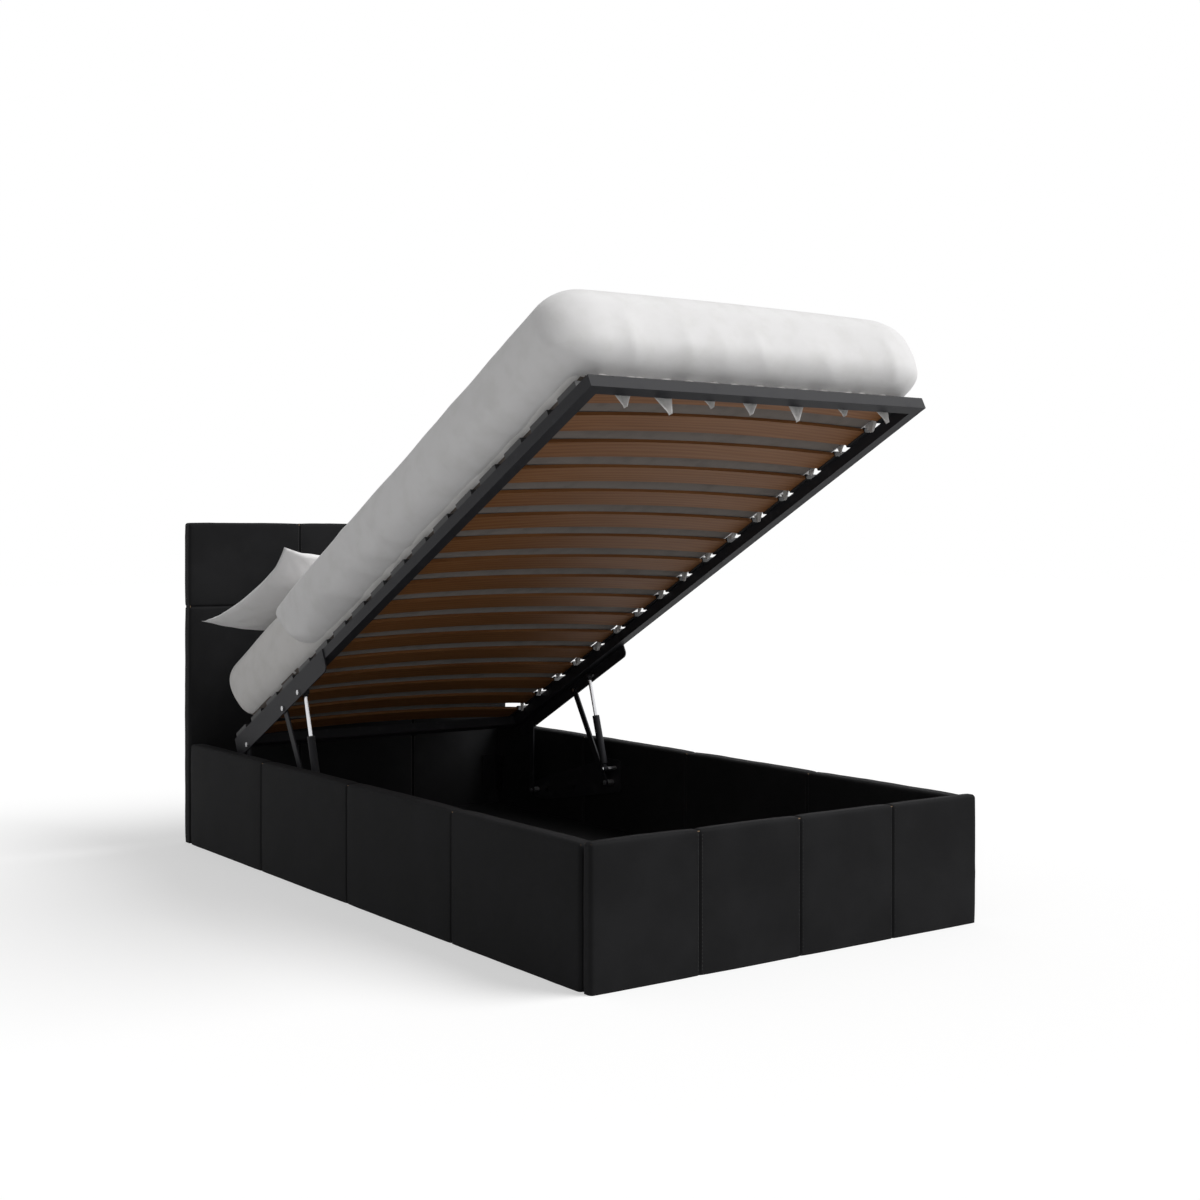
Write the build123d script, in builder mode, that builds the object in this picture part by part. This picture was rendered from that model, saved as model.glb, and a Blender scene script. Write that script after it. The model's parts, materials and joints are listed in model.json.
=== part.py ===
from build123d import *

import os
from math import atan2, cos, degrees, hypot, radians, sin

# Single ottoman bed, shown open. Millimetres, +Z up, the headboard towards +Y.
# The origin is on the floor at the middle of the base.
# A deck of steel tube and bowed slats carries the mattress. A pair of arms on each
# side swings it up and towards the foot, and gas struts hold it there.
os.makedirs("parts", exist_ok=True)

# Base boards
overall_length = 2000
overall_width = 1058
headboard_height = 906
headboard_thickness = 45
footboard_height = 289
footboard_thickness = 34
side_rail_height = 284
side_rail_thickness = 45
cover_thickness = 7
board_edge_radius = 10
side_panels = 4
foot_panels = 4
headboard_seam_offset = 188
headboard_seam_height = 666
seam_width = 7
seam_depth = 3.5

# Floor of the store
floor_batten_width = 20
floor_batten_height = 22
floor_board_thickness = 6
floor_gap = 2

# Corner fixings
bracket_leg = 50
bracket_thickness = 3
corner_bracket_height = 110
corner_bracket_base = 70
screw_radius = 3
screw_head_radius = 6
screw_head_height = 3
screw_length = 25
screw_spread = 70
screw_edge_distance = 32

# Deck frame
side_gap = 24
tube_width = 28
tube_height = 26
tube_wall = 2
open_angle = 27.2
open_foot_setback = 94
open_foot_height = 1148
closed_height = 236
closed_foot_gap = 13.5
closed_head_gap = 12.5

# Slats and their holders
slat_count = 17
slat_width = 63
slat_thickness = 8
slat_bow = 17
first_slat = 80
last_slat_setback = 43.8
slat_end_gap = 12
slat_seat = 1.6
holder_width = 39
holder_wall = 3
holder_height = 13.5
holder_inset = 1
pocket_clearance = 0.3

# Lift mechanism
plate_thickness = 3
plate_length = 603
plate_drop = 31
plate_corner = 14
plate_end_gap = 2
arm_thickness = 4
arm_width = 20
arm_side_gap = 0.4
pivot_drop = 19
front_arm_setback = 329
front_arm_reach = 270
rear_arm_setback = 75
rear_arm_reach = 180
strut_setback = 433
strut_pivot_drop = 18
strut_length = 270
strut_angle = 73
rod_show = 119
cylinder_radius = 10
cylinder_wall = 1.5
cylinder_shoulder = 3
rod_radius = 5
piston_length = 10
stem_length = 5
stem_radius = 6.5
gland_flange = 3
gland_depth = 5
eye_radius = 8
eye_width = 14
strut_side_offset = 15.5
pin_radius = 5
strut_pin_radius = 4
pin_head_radius = 7
pin_head_height = 3
pin_boss_radius = 9
strut_boss_radius = 6
bolt_head_height = 4
running_fit = 0.05
end_gap = 0.2
open_pivot_gap = 0.3
base_plate_margin = 24
base_plate_corner = 12

# Stops
rest_batten_depth = 30
rest_batten_height = 27
rest_batten_side_gap = 140
buffer_radius = 12
buffer_height = 8
buffer_spread = 300

# Bedding
mattress_inset = 5
mattress_bulge = 14
mattress_thickness = 195
mattress_crown = 8
mattress_corner = 28
mattress_foot = 18
mattress_head_gap = 4
bedding_gap = 0.4
duvet_thickness = 16
duvet_bulge = 34
duvet_hem_setback = 375
duvet_waist_setback = 395
duvet_low_setback = 525
duvet_edge = 19
soft_gap = 0.5
pillow_side_room = 150
pillow_width = 450
pillow_height = 130
pillow_draw_in = 26
pillow_corner = 30
pillow_turn = 8
pillow_offset = -130
pillow_setback = 283

# Places worked out from the sizes above
half_width = overall_width / 2
head_face = overall_length / 2 - headboard_thickness
foot_face = -overall_length / 2 + footboard_thickness
rail_face = half_width - side_rail_thickness
deck_half_width = rail_face - side_gap
deck_length = head_face - foot_face - closed_foot_gap - closed_head_gap
closed_foot = foot_face + closed_foot_gap
open_foot = -overall_length / 2 + open_foot_setback
plate_end = deck_length - plate_end_gap
plate_start = plate_end - plate_length
front_arm_pivot = deck_length - front_arm_setback
rear_arm_pivot = deck_length - rear_arm_setback
strut_pivot = deck_length - strut_setback
slat_pitch = (deck_length - first_slat - last_slat_setback) / (slat_count - 1)
mattress_half_width = deck_half_width - mattress_inset
duvet_hem = deck_length - duvet_hem_setback
duvet_hem_waist = deck_length - duvet_waist_setback
duvet_hem_low = deck_length - duvet_low_setback
pillow_length = 2 * mattress_half_width - pillow_side_room
pillow_place = deck_length - pillow_setback

side_names = {-1: "left", 1: "right"}
along = Vector(0, cos(radians(open_angle)), -sin(radians(open_angle)))
upward = Vector(0, sin(radians(open_angle)), cos(radians(open_angle)))
deck = Plane(origin=(0, open_foot, open_foot_height), x_dir=(1, 0, 0), z_dir=upward)


def deck_side(x):
    """Plane across the bed at x, where sketch x runs along the deck and sketch y up from it."""
    return Plane(origin=(x, open_foot, open_foot_height), x_dir=along, z_dir=(1, 0, 0))


def deck_cross(distance):
    """Plane square to the deck at a distance from its foot end, with sketch y up from the deck."""
    return Plane(origin=deck.from_local_coords((0, distance, 0)), x_dir=(1, 0, 0), z_dir=-along)


def open_point(distance, height):
    """A point of the raised deck as (y, z)."""
    place = deck.from_local_coords((0, distance, height))
    return place.Y, place.Z


def closed_point(distance, height):
    """The same point of the lowered deck as (y, z)."""
    return closed_foot + distance, closed_height + height


def base_pivot(distance, height, reach):
    """The point of the base that is as far from a deck pivot when open as when closed.

    It lies at the reach below the middle of the line from the one place to the other.
    """
    raised = open_point(distance, height)
    lowered = closed_point(distance, height)
    travel = (lowered[0] - raised[0], lowered[1] - raised[1])
    length = hypot(*travel)
    middle = ((raised[0] + lowered[0]) / 2, (raised[1] + lowered[1]) / 2)
    return middle[0] + reach * travel[1] / length, middle[1] - reach * travel[0] / length


def bearing(start, end):
    """Angle of the line from start to end above the +Y direction, in degrees."""
    return degrees(atan2(end[1] - start[1], end[0] - start[0]))


def spacing(start, end):
    """Length of the line from start to end."""
    return hypot(end[0] - start[0], end[1] - start[1])


front_top = open_point(front_arm_pivot, -pivot_drop)
front_base = base_pivot(front_arm_pivot, -pivot_drop, front_arm_reach)
rear_top = open_point(rear_arm_pivot, -pivot_drop)
rear_base = base_pivot(rear_arm_pivot, -pivot_drop, rear_arm_reach)
strut_top = open_point(strut_pivot, -strut_pivot_drop)
strut_base = (
    strut_top[0] - strut_length * cos(radians(strut_angle)),
    strut_top[1] - strut_length * sin(radians(strut_angle)),
)

# Places across the bed, from the middle outwards
strut_center = deck_half_width - strut_side_offset
eye_inner = strut_center - eye_width / 2
eye_outer = strut_center + eye_width / 2
arm_outer = deck_half_width - arm_side_gap
arm_inner = arm_outer - arm_thickness
plate_outer = deck_half_width + plate_thickness
base_plate_inner = rail_face - plate_thickness

# Places along the strut, from its base pin
cylinder_foot = eye_radius + stem_length
cylinder_mouth = strut_length - rod_show
piston_top = cylinder_mouth - gland_depth - piston_length
rod_end = strut_length - eye_radius - stem_length


def cylinder_between(side, place, radius, start, end, mode=Mode.ADD):
    """A round solid along X at (y, z), from one distance off the middle to another."""
    with BuildSketch(Plane.YZ.offset(side * start)) as section:
        with Locations(place):
            Circle(radius)
    extrude(section.sketch, amount=side * (end - start), mode=mode)


def hexagon_between(side, place, radius, start, end, mode=Mode.ADD):
    """A six-sided solid along X at (y, z), from one distance off the middle to another."""
    with BuildSketch(Plane.YZ.offset(side * start)) as section:
        with Locations(place):
            RegularPolygon(radius, 6)
    extrude(section.sketch, amount=side * (end - start), mode=mode)


def fixing_screws(mode, radius, heads):
    """Screws through the corner brackets and base plates into the boards.

    Without the heads and with a larger radius this is the set of pilot holes.
    """
    for side in side_names:
        for place in corner_screw_heights():
            for end, face in ((-1, foot_face), (1, head_face)):
                y = face - end * screw_edge_distance
                inner = rail_face - bracket_thickness
                hexagon_between(side, (y, place), radius, inner, rail_face + screw_length, mode)
                x = side * (rail_face - screw_edge_distance)
                start = face - end * bracket_thickness
                tip = face + end * (screw_length - bracket_thickness)
                screw_along_y(x, place, radius, start, tip, mode)
                if heads:
                    hexagon_between(side, (y, place), screw_head_radius, inner - screw_head_height, inner)
                    screw_along_y(x, place, screw_head_radius, start - end * screw_head_height, start, mode)
        for place in base_plate_screws():
            hexagon_between(side, place, radius, base_plate_inner, rail_face + screw_length, mode)
            if heads:
                inner = base_plate_inner
                hexagon_between(side, place, screw_head_radius, inner - screw_head_height, inner)


def screw_along_y(x, z, radius, start, end, mode):
    """A six-sided solid along Y at (x, z), from one y to another."""
    with BuildSketch(Plane.XZ.offset(-start)) as section:
        with Locations((x, z)):
            RegularPolygon(radius, 6)
    extrude(section.sketch, amount=start - end, mode=mode)


def corner_screw_heights():
    """Heights of the two screws in each leg of a corner bracket."""
    middle = corner_bracket_base + corner_bracket_height / 2
    return middle - screw_spread / 2, middle + screw_spread / 2


def base_plate_outline():
    """Corners of the base plate as (y, z), round the three base pivots."""
    margin = base_plate_margin
    return (
        (strut_base[0] - margin, front_base[1] - margin),
        (strut_base[0] - margin, strut_base[1] + margin),
        (front_base[0] + margin, strut_base[1] + margin),
        (rear_base[0] + margin, rear_base[1] + margin),
        (rear_base[0] + margin, rear_base[1] - margin),
        (rear_base[0] - 2 * margin, rear_base[1] - margin),
    )


def base_plate_screws():
    """Screw places of the base plate as (y, z), spaced along the line between the arm pivots."""
    first = (front_base[0] + 2 * base_plate_margin, front_base[1] - base_plate_margin / 2)
    last = (rear_base[0] - 2 * base_plate_margin, rear_base[1] + base_plate_margin / 4)
    middle = ((first[0] + last[0]) / 2, (first[1] + last[1]) / 2)
    return first, middle, last


def seam(plane, start, end):
    """Cuts the groove of a sewn seam along a line of the plane's surface."""
    run = Vector(*end) - Vector(*start)
    origin = plane.from_local_coords((*start, 0))
    direction = plane.from_local_coords((*end, 0)) - origin
    groove = Plane(origin=origin, x_dir=plane.z_dir.cross(direction), z_dir=direction)
    with BuildSketch(groove) as section:
        with BuildLine():
            Polyline((-seam_width / 2, 0), (0, -seam_depth), (seam_width / 2, 0), (0, seam_depth), close=True)
        make_face()
    extrude(section.sketch, amount=run.length, mode=Mode.SUBTRACT)


def headboard():
    """Headboard: a core board in a padded cover of three columns and two rows."""
    middle = (head_face + overall_length / 2) / 2
    with BuildPart() as headboard_core:
        with BuildSketch(Plane.XY):
            with Locations((0, middle)):
                Rectangle(overall_width - 2 * cover_thickness, headboard_thickness - 2 * cover_thickness)
        extrude(amount=headboard_height - cover_thickness)
        fixing_screws(Mode.SUBTRACT, screw_radius + running_fit, False)
    headboard_core.part.label = "headboard_core"
    export_step(headboard_core.part, "parts/headboard_core.step")

    with BuildPart() as headboard_cover:
        with BuildSketch(Plane.XY):
            with Locations((0, middle)):
                Rectangle(overall_width, headboard_thickness)
        extrude(amount=headboard_height)
        corners = headboard_cover.edges().filter_by(Axis.Z)
        fillet(corners + headboard_cover.faces().sort_by(Axis.Z)[-1].edges(), board_edge_radius)
        with BuildSketch(Plane.XY):
            with Locations((0, middle)):
                Rectangle(overall_width - 2 * cover_thickness, headboard_thickness - 2 * cover_thickness)
        extrude(amount=headboard_height - cover_thickness, mode=Mode.SUBTRACT)
        front = Plane.XZ.offset(-head_face)
        for x in (-headboard_seam_offset, headboard_seam_offset):
            seam(front, (x, 0), (x, headboard_height))
        seam(front, (-half_width, headboard_seam_height), (half_width, headboard_seam_height))
        fixing_screws(Mode.SUBTRACT, screw_radius + running_fit, False)
    headboard_cover.part.label = "headboard_cover"
    export_step(headboard_cover.part, "parts/headboard_cover.step")


def footboard():
    """Footboard: a core board in a padded cover of equal panels."""
    middle = (foot_face - overall_length / 2) / 2
    with BuildPart() as footboard_core:
        with BuildSketch(Plane.XY):
            with Locations((0, middle)):
                Rectangle(overall_width - 2 * cover_thickness, footboard_thickness - 2 * cover_thickness)
        extrude(amount=footboard_height - cover_thickness)
        fixing_screws(Mode.SUBTRACT, screw_radius + running_fit, False)
    footboard_core.part.label = "footboard_core"
    export_step(footboard_core.part, "parts/footboard_core.step")

    with BuildPart() as footboard_cover:
        with BuildSketch(Plane.XY):
            with Locations((0, middle)):
                Rectangle(overall_width, footboard_thickness)
        extrude(amount=footboard_height)
        front = footboard_cover.faces().sort_by(Axis.Y)[0]
        top = footboard_cover.faces().sort_by(Axis.Z)[-1]
        rounded = front.edges().filter_by(Axis.Z) + top.edges()
        fillet(rounded, board_edge_radius)
        with BuildSketch(Plane.XY):
            with Locations((0, middle)):
                Rectangle(overall_width - 2 * cover_thickness, footboard_thickness - 2 * cover_thickness)
        extrude(amount=footboard_height - cover_thickness, mode=Mode.SUBTRACT)
        face = Plane.XZ.offset(overall_length / 2)
        edge = Plane.XY.offset(footboard_height)
        for panel in range(1, foot_panels):
            x = -half_width + panel * overall_width / foot_panels
            seam(face, (x, 0), (x, footboard_height))
            seam(edge, (x, -overall_length / 2), (x, foot_face))
        fixing_screws(Mode.SUBTRACT, screw_radius + running_fit, False)
    footboard_cover.part.label = "footboard_cover"
    export_step(footboard_cover.part, "parts/footboard_cover.step")


def side_rail(side):
    """One side rail: a core board in a padded cover of equal panels."""
    name = side_names[side]
    length = head_face - foot_face
    center = (side * (rail_face + half_width) / 2, (head_face + foot_face) / 2)
    with BuildPart() as side_rail_core:
        with BuildSketch(Plane.XY):
            with Locations(center):
                Rectangle(side_rail_thickness - 2 * cover_thickness, length - 2 * cover_thickness)
        extrude(amount=side_rail_height - cover_thickness)
        fixing_screws(Mode.SUBTRACT, screw_radius + running_fit, False)
    side_rail_core.part.label = f"side_rail_core_{name}"
    export_step(side_rail_core.part, f"parts/side_rail_core_{name}.step")

    with BuildPart() as side_rail_cover:
        with BuildSketch(Plane.XY):
            with Locations(center):
                Rectangle(side_rail_thickness, length)
        extrude(amount=side_rail_height)
        edges = side_rail_cover.faces().sort_by(Axis.Z)[-1].edges().filter_by(Axis.Y)
        fillet(edges, board_edge_radius)
        with BuildSketch(Plane.XY):
            with Locations(center):
                Rectangle(side_rail_thickness - 2 * cover_thickness, length - 2 * cover_thickness)
        extrude(amount=side_rail_height - cover_thickness, mode=Mode.SUBTRACT)
        face = Plane.YZ.offset(side * half_width)
        edge = Plane.XY.offset(side_rail_height)
        for panel in range(1, side_panels):
            y = foot_face + panel * length / side_panels
            seam(face, (y, 0), (y, side_rail_height))
            seam(edge, (side * rail_face, y), (side * half_width, y))
        fixing_screws(Mode.SUBTRACT, screw_radius + running_fit, False)
    side_rail_cover.part.label = f"side_rail_cover_{name}"
    export_step(side_rail_cover.part, f"parts/side_rail_cover_{name}.step")


def corner_brackets():
    """Angle brackets in the four inner corners, where the boards are screwed together."""
    with BuildPart() as corner_brackets:
        for side in side_names:
            for end, face in ((-1, foot_face), (1, head_face)):
                x = side * rail_face
                with BuildSketch(Plane.XY.offset(corner_bracket_base)):
                    with BuildLine():
                        Polyline(
                            (x, face),
                            (x, face - end * bracket_leg),
                            (x - side * bracket_thickness, face - end * bracket_leg),
                            (x - side * bracket_thickness, face - end * bracket_thickness),
                            (x - side * bracket_leg, face - end * bracket_thickness),
                            (x - side * bracket_leg, face),
                            close=True,
                        )
                    make_face()
                extrude(amount=corner_bracket_height)
        fixing_screws(Mode.SUBTRACT, screw_radius + running_fit, False)
    corner_brackets.part.label = "corner_brackets"
    export_step(corner_brackets.part, "parts/corner_brackets.step")


def board_screws():
    """The screws of the corner brackets and base plates."""
    with BuildPart() as board_screws:
        fixing_screws(Mode.ADD, screw_radius, True)
    board_screws.part.label = "board_screws"
    export_step(board_screws.part, "parts/board_screws.step")


def floor():
    """Battens along the side rails and the two boards that lie on them."""
    for side, name in side_names.items():
        center = (side * (rail_face - floor_batten_width / 2), (head_face + foot_face) / 2)
        with BuildPart() as floor_batten:
            with BuildSketch(Plane.XY):
                with Locations(center):
                    Rectangle(floor_batten_width, head_face - foot_face - 2 * floor_gap)
            extrude(amount=floor_batten_height)
        floor_batten.part.label = f"floor_batten_{name}"
        export_step(floor_batten.part, f"parts/floor_batten_{name}.step")

    length = (head_face - foot_face - 3 * floor_gap) / 2
    for name, start in (("foot", foot_face + floor_gap), ("head", foot_face + 2 * floor_gap + length)):
        with BuildPart() as floor_board:
            with BuildSketch(Plane.XY.offset(floor_batten_height)):
                with Locations((0, start + length / 2)):
                    Rectangle(2 * (rail_face - floor_gap), length)
            extrude(amount=floor_board_thickness)
        floor_board.part.label = f"floor_board_{name}"
        export_step(floor_board.part, f"parts/floor_board_{name}.step")


def foot_rest():
    """Batten inside the footboard that the closed deck lies on, with its rubber buffers."""
    top = closed_height - end_gap - buffer_height
    with BuildPart() as foot_rest_batten:
        with BuildSketch(Plane.XY.offset(top - rest_batten_height)):
            with Locations((0, foot_face + rest_batten_depth / 2)):
                Rectangle(2 * (half_width - rest_batten_side_gap), rest_batten_depth)
        extrude(amount=rest_batten_height)
    foot_rest_batten.part.label = "foot_rest_batten"
    export_step(foot_rest_batten.part, "parts/foot_rest_batten.step")

    with BuildPart() as rest_buffers:
        with BuildSketch(Plane.XY.offset(top)):
            y = foot_face + rest_batten_depth / 2
            with Locations((-buffer_spread, y), (buffer_spread, y)):
                RegularPolygon(buffer_radius, 8)
        extrude(amount=buffer_height)
    rest_buffers.part.label = "rest_buffers"
    export_step(rest_buffers.part, "parts/rest_buffers.step")


def base_bracket(side):
    """Steel plate on the inside of a rail, with the bosses of its two arm pins and its strut pin."""
    name = side_names[side]
    with BuildPart() as base_bracket:
        with BuildSketch(Plane.YZ.offset(side * base_plate_inner)) as outline:
            with BuildLine():
                Polyline(*base_plate_outline(), close=True)
            make_face()
            fillet(outline.vertices(), base_plate_corner)
        extrude(amount=side * plate_thickness)
        fixing_screws(Mode.SUBTRACT, screw_radius + running_fit, False)
    base_bracket.part.label = f"base_bracket_{name}"
    export_step(base_bracket.part, f"parts/base_bracket_{name}.step")


def base_pins():
    """Shoulder pins riveted to the base plates, one for each arm and one for each strut."""
    with BuildPart() as base_pins:
        for side in side_names:
            for place in (front_base, rear_base):
                shoulder = arm_outer + end_gap
                head = arm_inner - end_gap
                hexagon_between(side, place, pin_boss_radius, shoulder, base_plate_inner)
                cylinder_between(side, place, pin_radius, head, shoulder)
                hexagon_between(side, place, pin_head_radius, head - pin_head_height, head)
            shoulder = eye_outer + end_gap
            head = eye_inner - end_gap
            hexagon_between(side, strut_base, strut_boss_radius, shoulder, base_plate_inner)
            cylinder_between(side, strut_base, strut_pin_radius, head, shoulder)
            hexagon_between(side, strut_base, strut_boss_radius, head - pin_head_height, head)
    base_pins.part.label = "base_pins"
    export_step(base_pins.part, "parts/base_pins.step")


def front_arm(side):
    """Flat bar from the base plate to the lift plate, with a bore for a pin at each end."""
    name = side_names[side]
    middle = ((front_base[0] + front_top[0]) / 2, (front_base[1] + front_top[1]) / 2)
    with BuildPart() as front_arm:
        with BuildSketch(Plane.YZ.offset(side * arm_inner)):
            with Locations(Location((*middle, 0), (0, 0, bearing(front_base, front_top)))):
                SlotCenterToCenter(spacing(front_base, front_top), arm_width)
            with Locations(front_base, front_top):
                Circle(pin_radius + running_fit, mode=Mode.SUBTRACT)
        extrude(amount=side * arm_thickness)
    front_arm.part.label = f"front_arm_{name}"
    export_step(front_arm.part, f"parts/front_arm_{name}.step")


def rear_arm(side):
    """Flat bar near the headboard, with a bore at the base and a riveted end at the deck."""
    name = side_names[side]
    middle = ((rear_base[0] + rear_top[0]) / 2, (rear_base[1] + rear_top[1]) / 2)
    with BuildPart() as rear_arm:
        with BuildSketch(Plane.YZ.offset(side * arm_inner)):
            with Locations(Location((*middle, 0), (0, 0, bearing(rear_base, rear_top)))):
                SlotCenterToCenter(spacing(rear_base, rear_top), arm_width)
            with Locations(rear_base):
                Circle(pin_radius + running_fit, mode=Mode.SUBTRACT)
        extrude(amount=side * arm_thickness)
        hexagon_between(side, rear_top, pin_head_radius, arm_inner - pin_head_height, arm_inner)
    rear_arm.part.label = f"rear_arm_{name}"
    export_step(rear_arm.part, f"parts/rear_arm_{name}.step")


def strut_axis(side):
    """Axis of the strut, from its base pin to its deck pin."""
    return Axis((side * strut_center, *strut_base), (0, cos(radians(strut_angle)), sin(radians(strut_angle))))


def strut_section(side):
    """Plane through the strut's axis, with sketch x off the axis and sketch y up along it."""
    axis = strut_axis(side)
    return Plane(origin=axis.position, x_dir=(1, 0, 0), z_dir=Vector(1, 0, 0).cross(axis.direction))


def strut_cylinder(side):
    """Gas strut's pressure tube, closed at the bottom, on the eye that turns on the base pin."""
    name = side_names[side]
    bore = cylinder_radius - cylinder_wall
    with BuildPart() as strut_cylinder:
        with BuildSketch(strut_section(side)):
            with BuildLine():
                Polyline(
                    (0, 0),
                    (stem_radius, 0),
                    (stem_radius, cylinder_foot),
                    (cylinder_radius, cylinder_foot + cylinder_shoulder),
                    (cylinder_radius, cylinder_mouth),
                    (bore, cylinder_mouth),
                    (bore, cylinder_foot + cylinder_shoulder),
                    (0, cylinder_foot + cylinder_shoulder),
                    close=True,
                )
            make_face()
        revolve(axis=strut_axis(side))
        cylinder_between(side, strut_base, eye_radius, eye_inner, eye_outer)
        hole = strut_pin_radius + running_fit
        cylinder_between(side, strut_base, hole, eye_inner, eye_outer, Mode.SUBTRACT)
    strut_cylinder.part.label = f"strut_cylinder_{name}"
    export_step(strut_cylinder.part, f"parts/strut_cylinder_{name}.step")


def strut_glands():
    """Ring at the mouth of each pressure tube that guides and seals the rod."""
    hole = rod_radius + running_fit
    with BuildPart() as strut_glands:
        for side in side_names:
            with BuildSketch(strut_section(side)):
                with BuildLine():
                    Polyline(
                        (hole, cylinder_mouth - gland_depth),
                        (cylinder_radius - cylinder_wall - running_fit, cylinder_mouth - gland_depth),
                        (cylinder_radius - cylinder_wall - running_fit, cylinder_mouth),
                        (cylinder_radius, cylinder_mouth),
                        (cylinder_radius, cylinder_mouth + gland_flange),
                        (hole, cylinder_mouth + gland_flange),
                        close=True,
                    )
                make_face()
            revolve(axis=strut_axis(side))
    strut_glands.part.label = "strut_glands"
    export_step(strut_glands.part, "parts/strut_glands.step")


def strut_rod(side):
    """Bright rod with its piston inside the pressure tube."""
    name = side_names[side]
    piston = cylinder_radius - cylinder_wall - running_fit
    with BuildPart() as strut_rod:
        with BuildSketch(strut_section(side)):
            with BuildLine():
                Polyline(
                    (0, piston_top - piston_length),
                    (piston, piston_top - piston_length),
                    (piston, piston_top),
                    (rod_radius, piston_top),
                    (rod_radius, rod_end),
                    (0, rod_end),
                    close=True,
                )
            make_face()
        revolve(axis=strut_axis(side))
    strut_rod.part.label = f"strut_rod_{name}"
    export_step(strut_rod.part, f"parts/strut_rod_{name}.step")


def strut_eyes():
    """End fitting of each rod: a stem on the rod's end and the eye at the lift plate."""
    with BuildPart() as strut_eyes:
        for side in side_names:
            with BuildSketch(strut_section(side)):
                with Locations((0, rod_end)):
                    Rectangle(stem_radius, strut_length - rod_end, align=(Align.MIN, Align.MIN))
            revolve(axis=strut_axis(side))
            cylinder_between(side, strut_top, eye_radius, eye_inner, eye_outer)
            hexagon_between(side, strut_top, strut_boss_radius, eye_inner - pin_head_height, eye_inner)
    strut_eyes.part.label = "strut_eyes"
    export_step(strut_eyes.part, "parts/strut_eyes.step")


def deck_tube(name, outer, inner):
    """One tube of the deck frame, mitred at both ends: an outline in plan and its bore."""
    with BuildPart() as tube:
        with BuildSketch(deck):
            with BuildLine():
                Polyline(*outer, close=True)
            make_face()
        extrude(amount=tube_height)
        with BuildSketch(deck.offset(tube_wall)):
            with BuildLine():
                Polyline(*inner, close=True)
            make_face()
        extrude(amount=tube_height - 2 * tube_wall, mode=Mode.SUBTRACT)
    tube.part.label = f"deck_tube_{name}"
    export_step(tube.part, f"parts/deck_tube_{name}.step")


def deck_frame():
    """Four mitred tubes round the deck."""

    def corner(side, end, inset):
        y = inset if end < 0 else deck_length - inset
        return side * (deck_half_width - inset), y

    def side_outline(side, near, far):
        return corner(side, -1, near), corner(side, 1, near), corner(side, 1, far), corner(side, -1, far)

    def end_outline(end, near, far):
        return corner(-1, end, near), corner(1, end, near), corner(1, end, far), corner(-1, end, far)

    near, far = tube_wall, tube_width - tube_wall
    for side, name in side_names.items():
        deck_tube(name, side_outline(side, 0, tube_width), side_outline(side, near, far))
    for end, name in ((-1, "foot"), (1, "head")):
        deck_tube(name, end_outline(end, 0, tube_width), end_outline(end, near, far))


def lift_plate(side):
    """Steel plate on the outside of a deck tube, hanging below it to carry the pins."""
    name = side_names[side]
    length = plate_end - plate_start
    height = tube_height + plate_drop
    with BuildPart() as lift_plate:
        with BuildSketch(deck_side(side * deck_half_width)) as outline:
            with Locations((plate_start + length / 2, tube_height - height / 2)):
                Rectangle(length, height)
            fillet(outline.vertices().group_by(Axis.Y)[0], plate_corner)
            with Locations((front_arm_pivot, -pivot_drop)):
                Circle(pin_radius + running_fit, mode=Mode.SUBTRACT)
            with Locations((rear_arm_pivot, -pivot_drop), (strut_pivot, -strut_pivot_drop)):
                RegularPolygon(pin_radius + running_fit, 6, mode=Mode.SUBTRACT)
        extrude(amount=side * plate_thickness)
    lift_plate.part.label = f"lift_plate_{name}"
    export_step(lift_plate.part, f"parts/lift_plate_{name}.step")


def lift_pins():
    """Bolts through the lift plates. Each front one carries an arm, with its rivet head inside."""
    with BuildPart() as lift_pins:
        for side in side_names:
            cylinder_between(side, front_top, pin_radius, arm_inner - end_gap, plate_outer)
            shanks = {
                (rear_arm_pivot, -pivot_drop): deck_half_width,
                (strut_pivot, -strut_pivot_drop): eye_outer + open_pivot_gap,
            }
            for place, end in shanks.items():
                with BuildSketch(deck_side(side * end)):
                    with Locations(place):
                        RegularPolygon(pin_radius, 6)
                extrude(amount=side * (plate_outer - end))
            for place in (front_top, rear_top, strut_top):
                with BuildSketch(Plane.YZ.offset(side * plate_outer)):
                    with Locations(place):
                        RegularPolygon(pin_head_radius, 6)
                extrude(amount=side * bolt_head_height)
            head = arm_inner - end_gap
            hexagon_between(side, front_top, pin_head_radius, head - pin_head_height, head)
    lift_pins.part.label = "lift_pins"
    export_step(lift_pins.part, "parts/lift_pins.step")


def slat_profile(plane, growth):
    """Bowed section of a slat across the bed, grown on its ends and its two faces."""
    half = deck_half_width - slat_end_gap + growth
    low = tube_height + slat_seat - growth
    high = tube_height + slat_seat + slat_thickness + growth
    with BuildSketch(plane) as section:
        with BuildLine():
            bottom = ThreePointArc((-half, low), (0, low + slat_bow), (half, low))
            top = ThreePointArc((-half, high), (0, high + slat_bow), (half, high))
            Line(bottom @ 0, top @ 0)
            Line(bottom @ 1, top @ 1)
        make_face()
    return section.sketch


def slat_start(index):
    """Distance of a slat's foot-side edge from the foot end of the deck."""
    return first_slat + index * slat_pitch - slat_width / 2


def slats():
    """Bowed plywood slats across the deck, one after another."""
    for index in range(slat_count):
        name = f"slat_{index + 1:02d}"
        with BuildPart() as slat:
            extrude(slat_profile(deck_cross(slat_start(index)), 0), amount=-slat_width)
        slat.part.label = name
        export_step(slat.part, f"parts/{name}.step")


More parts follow.
